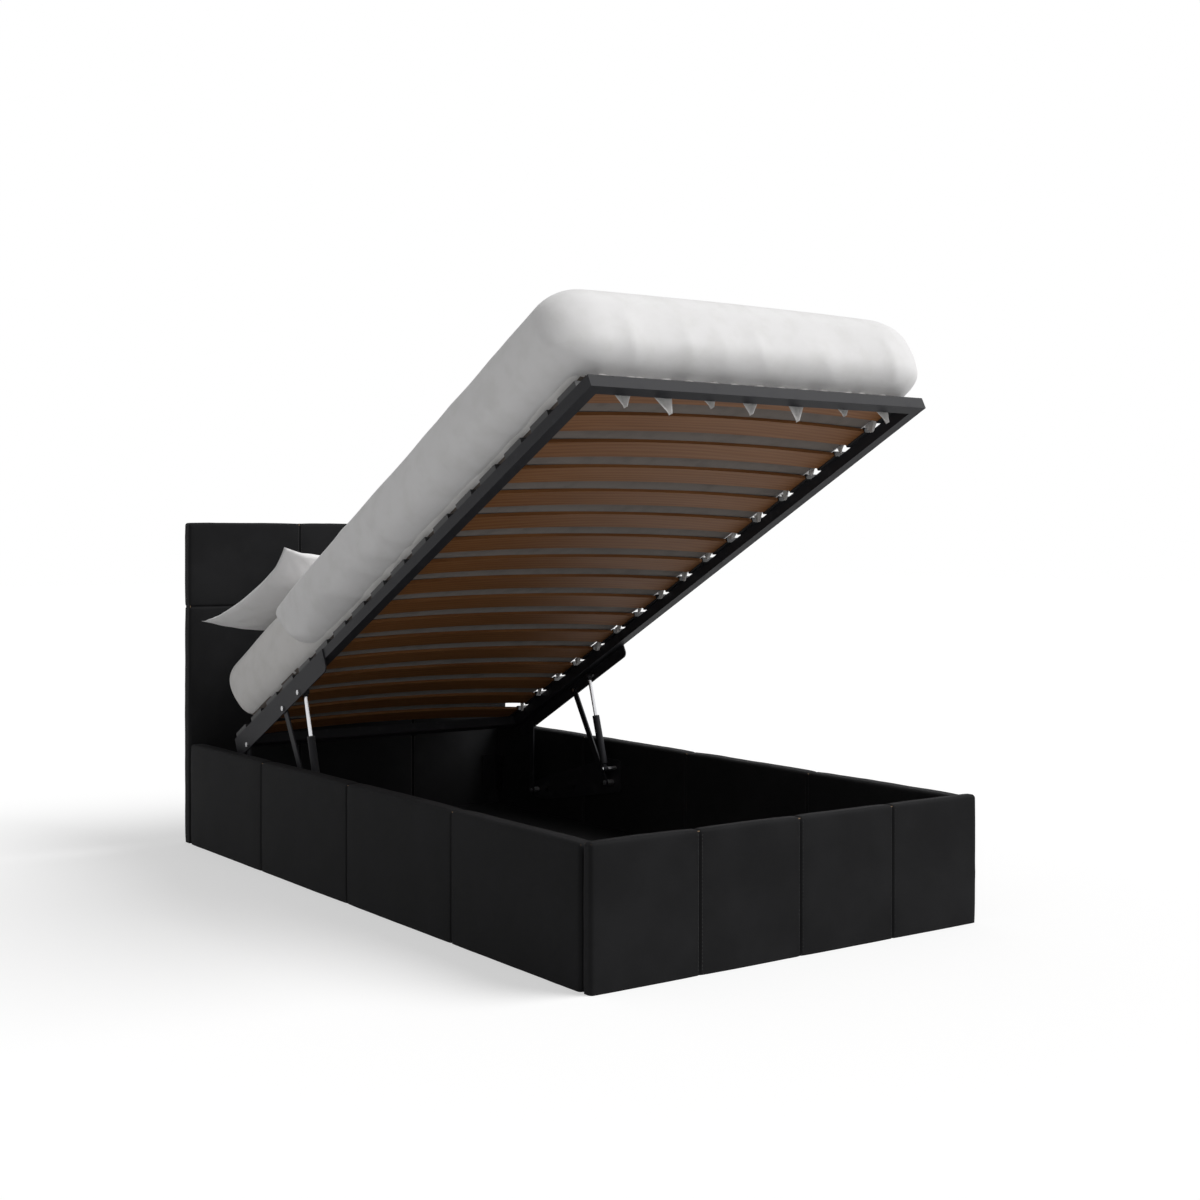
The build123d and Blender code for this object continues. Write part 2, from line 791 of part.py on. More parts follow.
def slat_holders(side):
    """Plastic caps on top of a side tube, each with a pocket for the end of its slat."""
    name = side_names[side]
    with BuildPart() as slat_holders:
        for index in range(slat_count):
            with BuildSketch(deck.offset(tube_height)):
                x = side * (deck_half_width - holder_inset - holder_width / 2)
                with Locations((x, slat_start(index) + slat_width / 2)):
                    Rectangle(holder_width, slat_width + 2 * holder_wall)
            extrude(amount=holder_height)
            pocket = slat_profile(deck_cross(slat_start(index) - pocket_clearance), pocket_clearance)
            extrude(pocket, amount=-slat_width - 2 * pocket_clearance, mode=Mode.SUBTRACT)
    slat_holders.part.label = f"slat_holders_{name}"
    export_step(slat_holders.part, f"parts/slat_holders_{name}.step")


# Heights of the bedding above the underside of the deck frame
bed_low = tube_height + holder_height + bedding_gap
bed_middle = tube_height + slat_seat + slat_thickness + slat_bow + bedding_gap
bed_high = bed_low + mattress_thickness
mattress_end = deck_length - mattress_head_gap


def bedding_profile(plane, growth, bulge):
    """Section across the bedding: arched below over the slats, full sides and a crowned top."""
    half = mattress_half_width + growth
    high = bed_high + growth
    with BuildSketch(plane) as section:
        with BuildLine():
            below = ThreePointArc((-half, bed_low), (0, bed_middle), (half, bed_low))
            above = ThreePointArc((-half, high), (0, high + mattress_crown), (half, high))
            for side, end in ((-1, 0), (1, 1)):
                ThreePointArc(below @ end, (side * (half + bulge), (bed_low + high) / 2), above @ end)
        make_face()
    return section.sketch


def mattress():
    """Mattress in its sheet: crowned, with full sides and rounded edges."""
    with BuildPart() as mattress:
        profile = bedding_profile(deck_cross(mattress_foot), 0, mattress_bulge)
        extrude(profile, amount=mattress_foot - mattress_end)
        ends = mattress.faces().sort_by(Axis((0, 0, 0), tuple(along)))
        lengthwise = mattress.edges().filter_by(GeomType.LINE)
        top = lengthwise.sort_by(Axis((0, 0, 0), tuple(upward)))[-2:]
        chamfer(ends[0].edges() + ends[-1].edges() + top, mattress_corner)
    mattress.part.label = "mattress"
    export_step(mattress.part, "parts/mattress.step")


def duvet():
    """Duvet over the mattress from its foot end to the hem, tucked in at the sides and the foot."""
    start = mattress_foot - duvet_thickness
    with BuildPart() as duvet:
        outer = bedding_profile(deck_cross(start), duvet_thickness, duvet_bulge)
        extrude(outer, amount=start - duvet_hem)
        foot = duvet.faces().sort_by(Axis((0, 0, 0), tuple(along)))[0]
        lengthwise = duvet.edges().filter_by(GeomType.LINE)
        top = lengthwise.sort_by(Axis((0, 0, 0), tuple(upward)))[-2:]
        chamfer(foot.edges() + top, duvet_edge)
        inside = mattress_foot - soft_gap
        extrude(
            bedding_profile(deck_cross(inside), soft_gap, mattress_bulge),
            amount=-duvet_hem,
            mode=Mode.SUBTRACT,
        )
        with BuildSketch(deck_cross(inside)):
            with Locations((0, bed_low)):
                Rectangle(2 * (mattress_half_width + soft_gap), 4 * (bed_middle - bed_low))
        extrude(amount=-duvet_hem, mode=Mode.SUBTRACT)
        with BuildSketch(deck_side(0)):
            with BuildLine():
                high = bed_high + 2 * duvet_thickness
                low = bed_low - bedding_gap
                hem = ThreePointArc(
                    (duvet_hem, high), (duvet_hem_waist, (bed_low + high) / 2), (duvet_hem_low, low)
                )
                Polyline(hem @ 1, (deck_length, low), (deck_length, high), hem @ 0)
            make_face()
        extrude(amount=half_width, both=True, mode=Mode.SUBTRACT)
    duvet.part.label = "duvet"
    export_step(duvet.part, "parts/duvet.step")


def pillow():
    """Pillow at the head of the mattress: four drawn-in sides, blunt corners and a crown."""
    low = bed_high + mattress_crown + duvet_thickness + soft_gap
    spot = deck.from_local_coords((pillow_offset, pillow_place, low))
    across = Vector(1, 0, 0).rotate(Axis((0, 0, 0), tuple(upward)), pillow_turn)
    base = Plane(origin=spot, x_dir=across, z_dir=upward)
    levels = ((0, 0.62), (0.2, 0.88), (0.42, 1), (0.7, 0.86), (0.9, 0.62), (1, 0.36))
    with BuildPart() as pillow:
        for level, share in levels:
            with BuildSketch(base.offset(level * pillow_height)):
                half_x = share * pillow_length / 2
                half_y = share * pillow_width / 2
                draw = share * pillow_draw_in
                blunt = share * pillow_corner
                quarter = (
                    (half_x - draw, 0),
                    (half_x, half_y - blunt),
                    (half_x - blunt, half_y),
                    (0, half_y - draw),
                )
                with BuildLine():
                    Polyline(
                        *quarter,
                        (blunt - half_x, half_y),
                        (-half_x, half_y - blunt),
                        (draw - half_x, 0),
                        (-half_x, blunt - half_y),
                        (blunt - half_x, -half_y),
                        (0, draw - half_y),
                        (half_x - blunt, -half_y),
                        (half_x, blunt - half_y),
                        close=True,
                    )
                make_face()
        loft(ruled=True)
    pillow.part.label = "pillow"
    export_step(pillow.part, "parts/pillow.step")


def report_pivots():
    """Prints each pivot in metres, the arms' turns and the strut's stroke."""
    lowered = {
        "front": closed_point(front_arm_pivot, -pivot_drop),
        "rear": closed_point(rear_arm_pivot, -pivot_drop),
        "strut": closed_point(strut_pivot, -strut_pivot_drop),
    }
    pivots = {
        "front": (front_base, front_top),
        "rear": (rear_base, rear_top),
        "strut": (strut_base, strut_top),
    }
    for name, (base, top) in pivots.items():
        turn = bearing(base, top) - bearing(base, lowered[name])
        stroke = spacing(base, top) - spacing(base, lowered[name])
        place = ", ".join(f"{value / 1000:.5f}" for value in (*base, *top))
        print(f"{name}: base and top {place}; turn {turn:.4f} deg, stroke {stroke:.3f} mm")


headboard()
footboard()
for rail_side in side_names:
    side_rail(rail_side)
corner_brackets()
board_screws()
floor()
foot_rest()
base_pins()
strut_glands()
strut_eyes()
for mechanism_side in side_names:
    base_bracket(mechanism_side)
    front_arm(mechanism_side)
    rear_arm(mechanism_side)
    strut_cylinder(mechanism_side)
    strut_rod(mechanism_side)
    lift_plate(mechanism_side)
    slat_holders(mechanism_side)
deck_frame()
lift_pins()
slats()
mattress()
duvet()
pillow()
report_pivots()
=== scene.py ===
"""Ottoman bed with its deck raised: upholstered base, lift mechanism, slatted deck and bedding."""

import json
import logging
import math
from dataclasses import dataclass, field
from enum import Enum
from itertools import product
from typing import Callable, Iterable, Sequence

import bmesh
import bpy
import numpy as np
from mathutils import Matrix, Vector, noise

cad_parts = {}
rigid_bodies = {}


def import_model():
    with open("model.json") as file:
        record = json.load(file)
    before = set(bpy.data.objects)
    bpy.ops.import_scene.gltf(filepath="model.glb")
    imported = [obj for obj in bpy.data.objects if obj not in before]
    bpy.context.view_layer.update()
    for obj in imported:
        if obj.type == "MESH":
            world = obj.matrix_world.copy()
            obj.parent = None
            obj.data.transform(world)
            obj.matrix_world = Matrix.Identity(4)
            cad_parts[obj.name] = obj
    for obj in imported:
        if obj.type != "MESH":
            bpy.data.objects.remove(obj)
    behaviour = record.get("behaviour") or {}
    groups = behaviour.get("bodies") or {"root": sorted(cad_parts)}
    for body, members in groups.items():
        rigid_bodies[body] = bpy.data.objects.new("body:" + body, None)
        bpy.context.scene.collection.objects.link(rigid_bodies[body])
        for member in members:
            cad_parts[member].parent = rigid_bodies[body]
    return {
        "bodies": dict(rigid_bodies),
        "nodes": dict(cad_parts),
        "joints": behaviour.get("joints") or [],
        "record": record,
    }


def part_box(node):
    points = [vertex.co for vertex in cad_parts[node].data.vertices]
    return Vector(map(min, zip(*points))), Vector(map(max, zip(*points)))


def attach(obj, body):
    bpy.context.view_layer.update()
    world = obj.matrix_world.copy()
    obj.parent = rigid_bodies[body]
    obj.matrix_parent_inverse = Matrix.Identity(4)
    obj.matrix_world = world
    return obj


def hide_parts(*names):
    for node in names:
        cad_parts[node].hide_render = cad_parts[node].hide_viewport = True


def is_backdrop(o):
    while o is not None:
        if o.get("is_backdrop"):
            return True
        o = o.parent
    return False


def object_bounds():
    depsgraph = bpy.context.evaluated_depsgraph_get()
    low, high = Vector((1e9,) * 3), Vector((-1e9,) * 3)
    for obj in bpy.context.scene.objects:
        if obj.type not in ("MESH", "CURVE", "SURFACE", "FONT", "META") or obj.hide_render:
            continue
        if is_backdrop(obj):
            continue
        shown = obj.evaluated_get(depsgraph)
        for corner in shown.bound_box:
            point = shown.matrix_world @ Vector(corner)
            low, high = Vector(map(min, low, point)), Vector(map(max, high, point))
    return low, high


log = logging.getLogger("ottoman_bed")

Point = tuple[float, float, float]


# Shader expressions


class Socket:
    """A node's output that takes part in Python expressions on values.

    Args:
        tree: The node tree that new nodes go into.
        link: The output socket that holds the value.
    """

    def __init__(self, tree: bpy.types.NodeTree, link: bpy.types.NodeSocket) -> None:
        self.tree = tree
        self.link = link

    def _math(self, operation: str, *operands: "float | Socket") -> "Socket":
        """Adds one Math node with this socket as its first operand."""
        return add_node(self.tree, "ShaderNodeMath", {"operation": operation}, [self, *operands])

    def _reflected(self, operation: str, other: float) -> "Socket":
        """Adds one Math node with a number as its first operand."""
        return add_node(self.tree, "ShaderNodeMath", {"operation": operation}, [other, self])

    def __add__(self, other: "float | Socket") -> "Socket":
        """The sum."""
        return self._math("ADD", other)

    def __radd__(self, other: float) -> "Socket":
        """The sum with a number on the left."""
        return self._math("ADD", other)

    def __sub__(self, other: "float | Socket") -> "Socket":
        """The difference."""
        return self._math("SUBTRACT", other)

    def __rsub__(self, other: float) -> "Socket":
        """A number less this value."""
        return self._reflected("SUBTRACT", other)

    def __mul__(self, other: "float | Socket") -> "Socket":
        """The product."""
        return self._math("MULTIPLY", other)

    def __rmul__(self, other: float) -> "Socket":
        """The product with a number on the left."""
        return self._math("MULTIPLY", other)

    def sine(self) -> "Socket":
        """The sine of this value in radians."""
        return self._math("SINE")

    def clamp(self) -> "Socket":
        """This value held between 0 and 1."""
        return add_node(self.tree, "ShaderNodeClamp", {}, [self, 0.0, 1.0])

    def ramp(self, low: float, high: float) -> "Socket":
        """0 at and below low, 1 at and above high, and smooth between them."""
        settings = {"interpolation_type": "SMOOTHSTEP"}
        return add_node(self.tree, "ShaderNodeMapRange", settings, [self, low, high, 0.0, 1.0])


Value = "float | Socket"


def add_node(
    tree: bpy.types.NodeTree,
    kind: str,
    settings: dict[str, object],
    inputs: "Sequence[object] | dict[str, object]" = (),
    output: "int | str" = 0,
) -> Socket:
    """Adds a node, sets its options and then its sockets.

    Args:
        tree: The node tree.
        kind: The node's type.
        settings: Options by name.
        inputs: Numbers, colours or sockets, in order or by socket name.
        output: The output to return.

    Returns:
        The chosen output as a Socket.
    """
    node = tree.nodes.new(kind)
    for name, value in settings.items():
        setattr(node, name, value)
    pairs = inputs.items() if isinstance(inputs, dict) else enumerate(inputs)
    for key, value in pairs:
        if isinstance(value, Socket):
            tree.links.new(value.link, node.inputs[key])
        else:
            node.inputs[key].default_value = value
    return Socket(tree, node.outputs[output])


def colour(red: float, green: float, blue: float) -> tuple[float, float, float, float]:
    """A linear colour from 8-bit display values."""
    def linear(value: float) -> float:
        part = value / 255
        return part / 12.92 if part <= 0.04045 else ((part + 0.055) / 1.055) ** 2.4

    return (linear(red), linear(green), linear(blue), 1.0)


def mix_colour(tree: bpy.types.NodeTree, share: Value, first: object, second: object) -> Socket:
    """Mixes two colours by a share.

    Args:
        tree: The node tree.
        share: 0 for the first colour, 1 for the second.
        first: A colour or a Socket.
        second: A colour or a Socket.

    Returns:
        The mixed colour.
    """
    settings = {"data_type": "RGBA", "clamp_factor": True}
    inputs = {0: share, 6: first, 7: second}
    return add_node(tree, "ShaderNodeMix", settings, inputs, 2)


@dataclass(frozen=True)
class Finish:
    """A surface finish: base of every material here.

    Attributes:
        name: Material name.
        base: Base colour.
        roughness: Mean roughness.
    """

    name: str
    base: tuple[float, float, float, float]
    roughness: float = 0.5

    def build(self) -> bpy.types.Material:
        """Makes the material, or returns it if it has been made."""
        known = bpy.data.materials.get(self.name)
        if known:
            return known
        material = bpy.data.materials.new(self.name)
        material.use_nodes = True
        tree = material.node_tree
        shader = tree.nodes["Principled BSDF"]
        shader.inputs["Base Color"].default_value = self.base
        shader.inputs["Roughness"].default_value = self.roughness
        self.dress(tree, shader)
        return material

    def dress(self, tree: bpy.types.NodeTree, shader: bpy.types.Node) -> None:
        """Adds what varies over the surface. Each finish has its own."""

    def place(self, tree: bpy.types.NodeTree, scale: Point = (1, 1, 1)) -> Socket:
        """Object coordinates in metres, stretched by a scale."""
        source = add_node(tree, "ShaderNodeTexCoord", {}, (), "Object")
        return add_node(tree, "ShaderNodeMapping", {}, {"Vector": source, "Scale": scale})

    def noise(
        self, tree: bpy.types.NodeTree, scale: float, detail: float = 2.0, stretch: Point = (1, 1, 1)
    ) -> Socket:
        """A noise of so many spots to the metre, from 0 to 1."""
        inputs = {"Vector": self.place(tree, stretch), "Scale": scale, "Detail": detail}
        return add_node(tree, "ShaderNodeTexNoise", {}, inputs)

    def bump(
        self,
        tree: bpy.types.NodeTree,
        shader: bpy.types.Node,
        height: Socket,
        depth: float,
        strength: float = 1.0,
    ) -> None:
        """Feeds the shader's normal from a height.

        Args:
            tree: The node tree.
            shader: The shader that takes the normal.
            height: Height from 0 to 1.
            depth: What 1 means, in metres.
            strength: Share of the effect.
        """
        inputs = {"Strength": strength, "Distance": depth, "Height": height}
        normal = add_node(tree, "ShaderNodeBump", {}, inputs)
        tree.links.new(normal.link, shader.inputs["Normal"])


@dataclass(frozen=True)
class BlackLeather(Finish):
    """Artificial leather: pebbled grain, a low sheen and faint rubbed patches.

    Attributes:
        grain: Pebbles to the metre.
        specular: Level of its mirror-like share.
    """

    grain: float = 900.0
    specular: float = 0.03

    def dress(self, tree: bpy.types.NodeTree, shader: bpy.types.Node) -> None:
        """Adds the grain, the patches and the uneven gloss."""
        cells = add_node(
            tree, "ShaderNodeTexVoronoi", {"feature": "DISTANCE_TO_EDGE"},
            {"Vector": self.place(tree), "Scale": self.grain},
        )
        pebble = cells.ramp(0.0, 0.16)
        patches = self.noise(tree, 6.0, 4.0).ramp(0.35, 0.7)
        lighter = tuple(part * 1.35 for part in self.base[:3]) + (1.0,)
        shade = mix_colour(tree, patches, self.base, lighter)
        tree.links.new(shade.link, shader.inputs["Base Color"])
        gloss = self.roughness + 0.1 * (1 - pebble) + 0.06 * patches
        tree.links.new(gloss.link, shader.inputs["Roughness"])
        shader.inputs["Specular IOR Level"].default_value = self.specular
        folds = self.noise(tree, 40.0, 3.0)
        self.bump(tree, shader, pebble * 0.5 + folds * 0.8, 0.0004, 0.7)


@dataclass(frozen=True)
class PowderCoat(Finish):
    """Baked powder on steel, with a fine orange-peel texture and worn spots.

    Attributes:
        specular: Level of its mirror-like share.
    """

    specular: float = 0.12

    def dress(self, tree: bpy.types.NodeTree, shader: bpy.types.Node) -> None:
        """Adds the peel and the scuffs."""
        shader.inputs["Specular IOR Level"].default_value = self.specular
        peel = self.noise(tree, 1400.0, 2.0)
        scuffs = self.noise(tree, 30.0, 6.0).ramp(0.58, 0.72)
        lighter = tuple(part * 1.4 + 0.002 for part in self.base[:3]) + (1.0,)
        shade = mix_colour(tree, scuffs, self.base, lighter)
        tree.links.new(shade.link, shader.inputs["Base Color"])
        gloss = self.roughness + 0.12 * peel + 0.1 * scuffs
        tree.links.new(gloss.link, shader.inputs["Roughness"])
        self.bump(tree, shader, peel, 0.00012, 0.8)


@dataclass(frozen=True)
class Metal(Finish):
    """Bare or plated metal with fine turning marks.

    Attributes:
        streaks: Marks to the metre.
    """

    streaks: float = 1200.0

    def dress(self, tree: bpy.types.NodeTree, shader: bpy.types.Node) -> None:
        """Adds the marks and sets the metal."""
        shader.inputs["Metallic"].default_value = 1.0
        marks = self.noise(tree, self.streaks, 2.0, (1, 1, 0.1))
        gloss = self.roughness + 0.14 * marks
        tree.links.new(gloss.link, shader.inputs["Roughness"])
        darker = tuple(part * 0.8 for part in self.base[:3]) + (1.0,)
        tint = mix_colour(tree, marks, self.base, darker)
        tree.links.new(tint.link, shader.inputs["Base Color"])


@dataclass(frozen=True)
class Timber(Finish):
    """Wood with its grain along X, light and dark bands and open pores.

    Attributes:
        dark: Colour of the late wood.
        rings: Bands to the metre across the grain.
        specular: Level of its mirror-like share.
    """

    dark: tuple[float, float, float, float] = (0.2, 0.1, 0.05, 1)
    rings: float = 90.0
    specular: float = 0.2

    def dress(self, tree: bpy.types.NodeTree, shader: bpy.types.Node) -> None:
        """Adds the figure, the pores and the uneven polish."""
        warp = self.noise(tree, 3.0, 3.0, (0.4, 2.5, 2.5))
        split = add_node(tree, "ShaderNodeSeparateXYZ", {}, [self.place(tree)], "Y")
        figure = ((split + warp * 0.05) * (self.rings * 2 * math.pi)).sine() * 0.5 + 0.5
        fibre = self.noise(tree, 60.0, 5.0, (0.05, 3.0, 3.0))
        blotch = self.noise(tree, 5.0, 3.0, (0.5, 1.5, 1.5))
        share = figure * 0.35 + fibre * 0.5 + blotch * 0.5 - 0.2
        shade = mix_colour(tree, share.clamp(), self.base, self.dark)
        tree.links.new(shade.link, shader.inputs["Base Color"])
        tree.links.new((self.roughness + fibre * 0.15).link, shader.inputs["Roughness"])
        shader.inputs["Specular IOR Level"].default_value = self.specular
        self.bump(tree, shader, fibre, 0.0003, 0.5)


@dataclass(frozen=True)
class Cotton(Finish):
    """Woven cotton: crossed threads, soft creases with painted shade in their hollows, and a little
    sheen.

    Attributes:
        threads: Threads to the metre.
        shade: Painted shade: the colour put into the creases' hollows.
    """

    threads: float = 900.0
    shade: tuple[float, float, float, float] = (0.7, 0.7, 0.7, 1)

    def dress(self, tree: bpy.types.NodeTree, shader: bpy.types.Node) -> None:
        """Adds the weave, the creases with painted shade in their hollows, and the sheen."""
        place = self.place(tree)
        turns = self.threads * 2 * math.pi
        x, y, z = (add_node(tree, "ShaderNodeSeparateXYZ", {}, [place], axis) for axis in "XYZ")
        warp = (x * turns).sine() * 0.5 + 0.5
        weft = ((y - z) * turns).sine() * 0.5 + 0.5
        weave = warp * weft
        creases = self.noise(tree, 22.0, 6.0)
        # Painted shade: the crease noise darkens the colour towards shade where the bump is low.
        shade = mix_colour(tree, creases.ramp(0.25, 0.6), self.shade, self.base)
        tree.links.new(shade.link, shader.inputs["Base Color"])
        shader.inputs["Sheen Weight"].default_value = 0.25
        shader.inputs["Sheen Roughness"].default_value = 0.5
        tree.links.new((self.roughness + weave * 0.08).link, shader.inputs["Roughness"])
        self.bump(tree, shader, weave * 0.15 + creases, 0.0012, 0.35)


@dataclass(frozen=True)
class MouldedPlastic(Finish):
    """Moulded plastic with a fine spark-eroded texture."""

    def dress(self, tree: bpy.types.NodeTree, shader: bpy.types.Node) -> None:
        """Adds the texture."""
        texture = self.noise(tree, 1800.0, 1.0)
        tree.links.new((self.roughness + texture * 0.1).link, shader.inputs["Roughness"])
        self.bump(tree, shader, texture, 0.0001, 0.6)


@dataclass(frozen=True)
class Chipboard(Finish):
    """Pressed board: pale chips in a darker ground.

    Attributes:
        chips: Chips to the metre.
    """

    chips: float = 260.0

    def dress(self, tree: bpy.types.NodeTree, shader: bpy.types.Node) -> None:
        """Adds the chips."""
        inputs = {"Vector": self.place(tree), "Scale": self.chips}
        cells = add_node(tree, "ShaderNodeTexVoronoi", {}, inputs, "Distance")
        lighter = tuple(min(1.0, part * 1.8) for part in self.base[:3]) + (1.0,)
        shade = mix_colour(tree, cells.ramp(0.2, 0.6), lighter, self.base)
        tree.links.new(shade.link, shader.inputs["Base Color"])
        self.bump(tree, shader, cells, 0.0003, 0.4)


class Finishes(Enum):
    """Every finish of the bed."""

    LEATHER = BlackLeather("black_leather", colour(35, 35, 36), 0.6)
    # The last colour of each Cotton is painted shade for its crease hollows.
    THREAD = Cotton("black_thread", colour(24, 24, 26), 0.8, 2500.0, colour(12, 12, 13))
    STEEL = PowderCoat("powder_coated_steel", colour(41, 41, 44), 0.45)
    ZINC = Metal("zinc_plate", colour(190, 190, 192), 0.3)
    DARK_ZINC = Metal("black_zinc", colour(40, 40, 42), 0.5)
    CHROME = Metal("chrome_rod", colour(225, 225, 228), 0.12)
    PLYWOOD = Timber("slat_plywood", colour(152, 104, 62), 0.45, colour(108, 66, 34))
    BATTEN = Timber("batten_softwood", colour(176, 140, 98), 0.6, colour(128, 92, 60), 60.0)
    CHIPBOARD = Chipboard("core_chipboard", colour(150, 124, 94), 0.8)
    FLOOR = PowderCoat("black_floor_panel", colour(12, 12, 13), 0.6)
    PLASTIC = MouldedPlastic("moulded_black", colour(26, 26, 28), 0.5)
    RUBBER = MouldedPlastic("buffer_rubber", colour(30, 30, 30), 0.85)
    SHEET = Cotton("duvet_cotton", colour(239, 238, 238), 0.85, 900.0, colour(233, 232, 231))
    # Painted shade: a darker, warmer cloth colour for the mattress's downward faces.
    UNDERSIDE = Cotton("mattress_base_cloth", colour(112, 102, 94), 0.9, 500.0, colour(96, 86, 79))
    MATTRESS = Cotton("mattress_cloth", colour(234, 232, 230), 0.9, 700.0, colour(227, 225, 222))

    def build(self) -> bpy.types.Material:
        """The finish's material."""
        return self.value.build()


# Meshes


def new_mesh(
    name: str, points: Iterable[Sequence[float]], faces: Iterable[Sequence[int]], finish: Finishes
) -> bpy.types.Object:
    """Makes a mesh object.

    Args:
        name: Object name.
        points: Vertices in metres.
        faces: Vertex numbers of each face.
        finish: The finish of the whole mesh.

    Returns:
        The new object, linked to the scene.
    """
    mesh = bpy.data.meshes.new(name)
    mesh.from_pydata([tuple(point) for point in points], [], [tuple(face) for face in faces])
    mesh.update()
    piece = bpy.data.objects.new(name, mesh)
    bpy.context.scene.collection.objects.link(piece)
    mesh.materials.append(finish.build())
    mesh.shade_smooth()
    return piece


def dress_node(frame: dict, node: str, finish: Finishes, bevel: float = 0.0) -> None:
    """Gives a CAD node its finish and breaks its sharp edges.

    Args:
        frame: The loaded frame.
        node: The node's name.
        finish: Its finish.
        bevel: Width of the broken edges in metres, or 0.
    """
    piece = frame["nodes"][node]
    piece.data.materials.clear()
    piece.data.materials.append(finish.build())
    if bevel:
        modifier = piece.modifiers.new("broken_edges", "BEVEL")
        modifier.width = bevel
        modifier.segments = 2
        modifier.limit_method = "ANGLE"
        modifier.angle_limit = math.radians(40)
        modifier.harden_normals = True


def graded(
    start: float, end: float, step: float, marks: Sequence[float], near: Sequence[float]
) -> np.ndarray:
    """Grid places from start to end, closer together about the marks.

    Args:
        start: First place.
        end: Last place.
        step: Widest step.
        marks: Places that need a fine grid.
        near: Distances from a mark at which a line lies.

    Returns:
        Sorted places.
    """
    places = {start, end}
    for mark in marks:
        for distance in near:
            for place in (mark - distance, mark + distance):
                if start < place < end:
                    places.add(place)
    reach = max(near) if near else 0.0
    count = max(2, int(round((end - start) / step)))
    for place in np.linspace(start, end, count + 1):
        if all(abs(place - mark) > reach for mark in marks):
            places.add(float(place))
    ordered = sorted(places)
    kept = [ordered[0]]
    for place in ordered[1:]:
        if place - kept[-1] > 2e-4:
            kept.append(place)
    kept[-1] = end
    return np.array(kept)


def box_grid(lines: Sequence[np.ndarray]) -> tuple[np.ndarray, list[tuple[int, int, int, int]]]:
    """Closed surface of a box, cut along given places on each axis.

    Args:
        lines: Places along X, Y and Z.

    Returns:
        The points and the four-sided faces.
    """
    counts = [len(line) for line in lines]
    numbers: dict[tuple[int, int, int], int] = {}
    points: list[tuple[float, float, float]] = []

    def number(key: tuple[int, int, int]) -> int:
        if key not in numbers:
            numbers[key] = len(points)
            points.append(tuple(lines[axis][key[axis]] for axis in range(3)))
        return numbers[key]

    faces = []
    for axis in range(3):
        first, second = (axis + 1) % 3, (axis + 2) % 3
        for end in (0, counts[axis] - 1):
            for i in range(counts[first] - 1):
                for j in range(counts[second] - 1):
                    ring = []
                    for di, dj in ((0, 0), (1, 0), (1, 1), (0, 1)):
                        key = [0, 0, 0]
                        key[axis], key[first], key[second] = end, i + di, j + dj
                        ring.append(number(tuple(key)))
                    faces.append(tuple(ring if end else reversed(ring)))
    return np.array(points), faces


def round_box(
    points: np.ndarray,
    low: np.ndarray,
    high: np.ndarray,
    radius: np.ndarray,
    square: Sequence[float] = (0, 0, 0),
) -> tuple[np.ndarray, np.ndarray]:
    """Rounds the edges of a box's surface points.

    Args:
        points: Points on the box's surface.
        low: The box's low corner.
        high: The box's high corner.
        radius: Edge radius along each axis.
        square: 1 for each axis whose low side keeps square edges.

    Returns:
        The moved points and their outward directions.
    """
    inner = np.clip(points, low + radius * (1 - np.array(square)), high - radius)
    offset = (points - inner) / radius
    length = np.linalg.norm(offset, axis=1, keepdims=True)
    length[length == 0] = 1.0
    normal = offset / length
    outward = normal / radius
    outward /= np.linalg.norm(outward, axis=1, keepdims=True)
    return inner + normal * radius, outward


# Upholstered boards


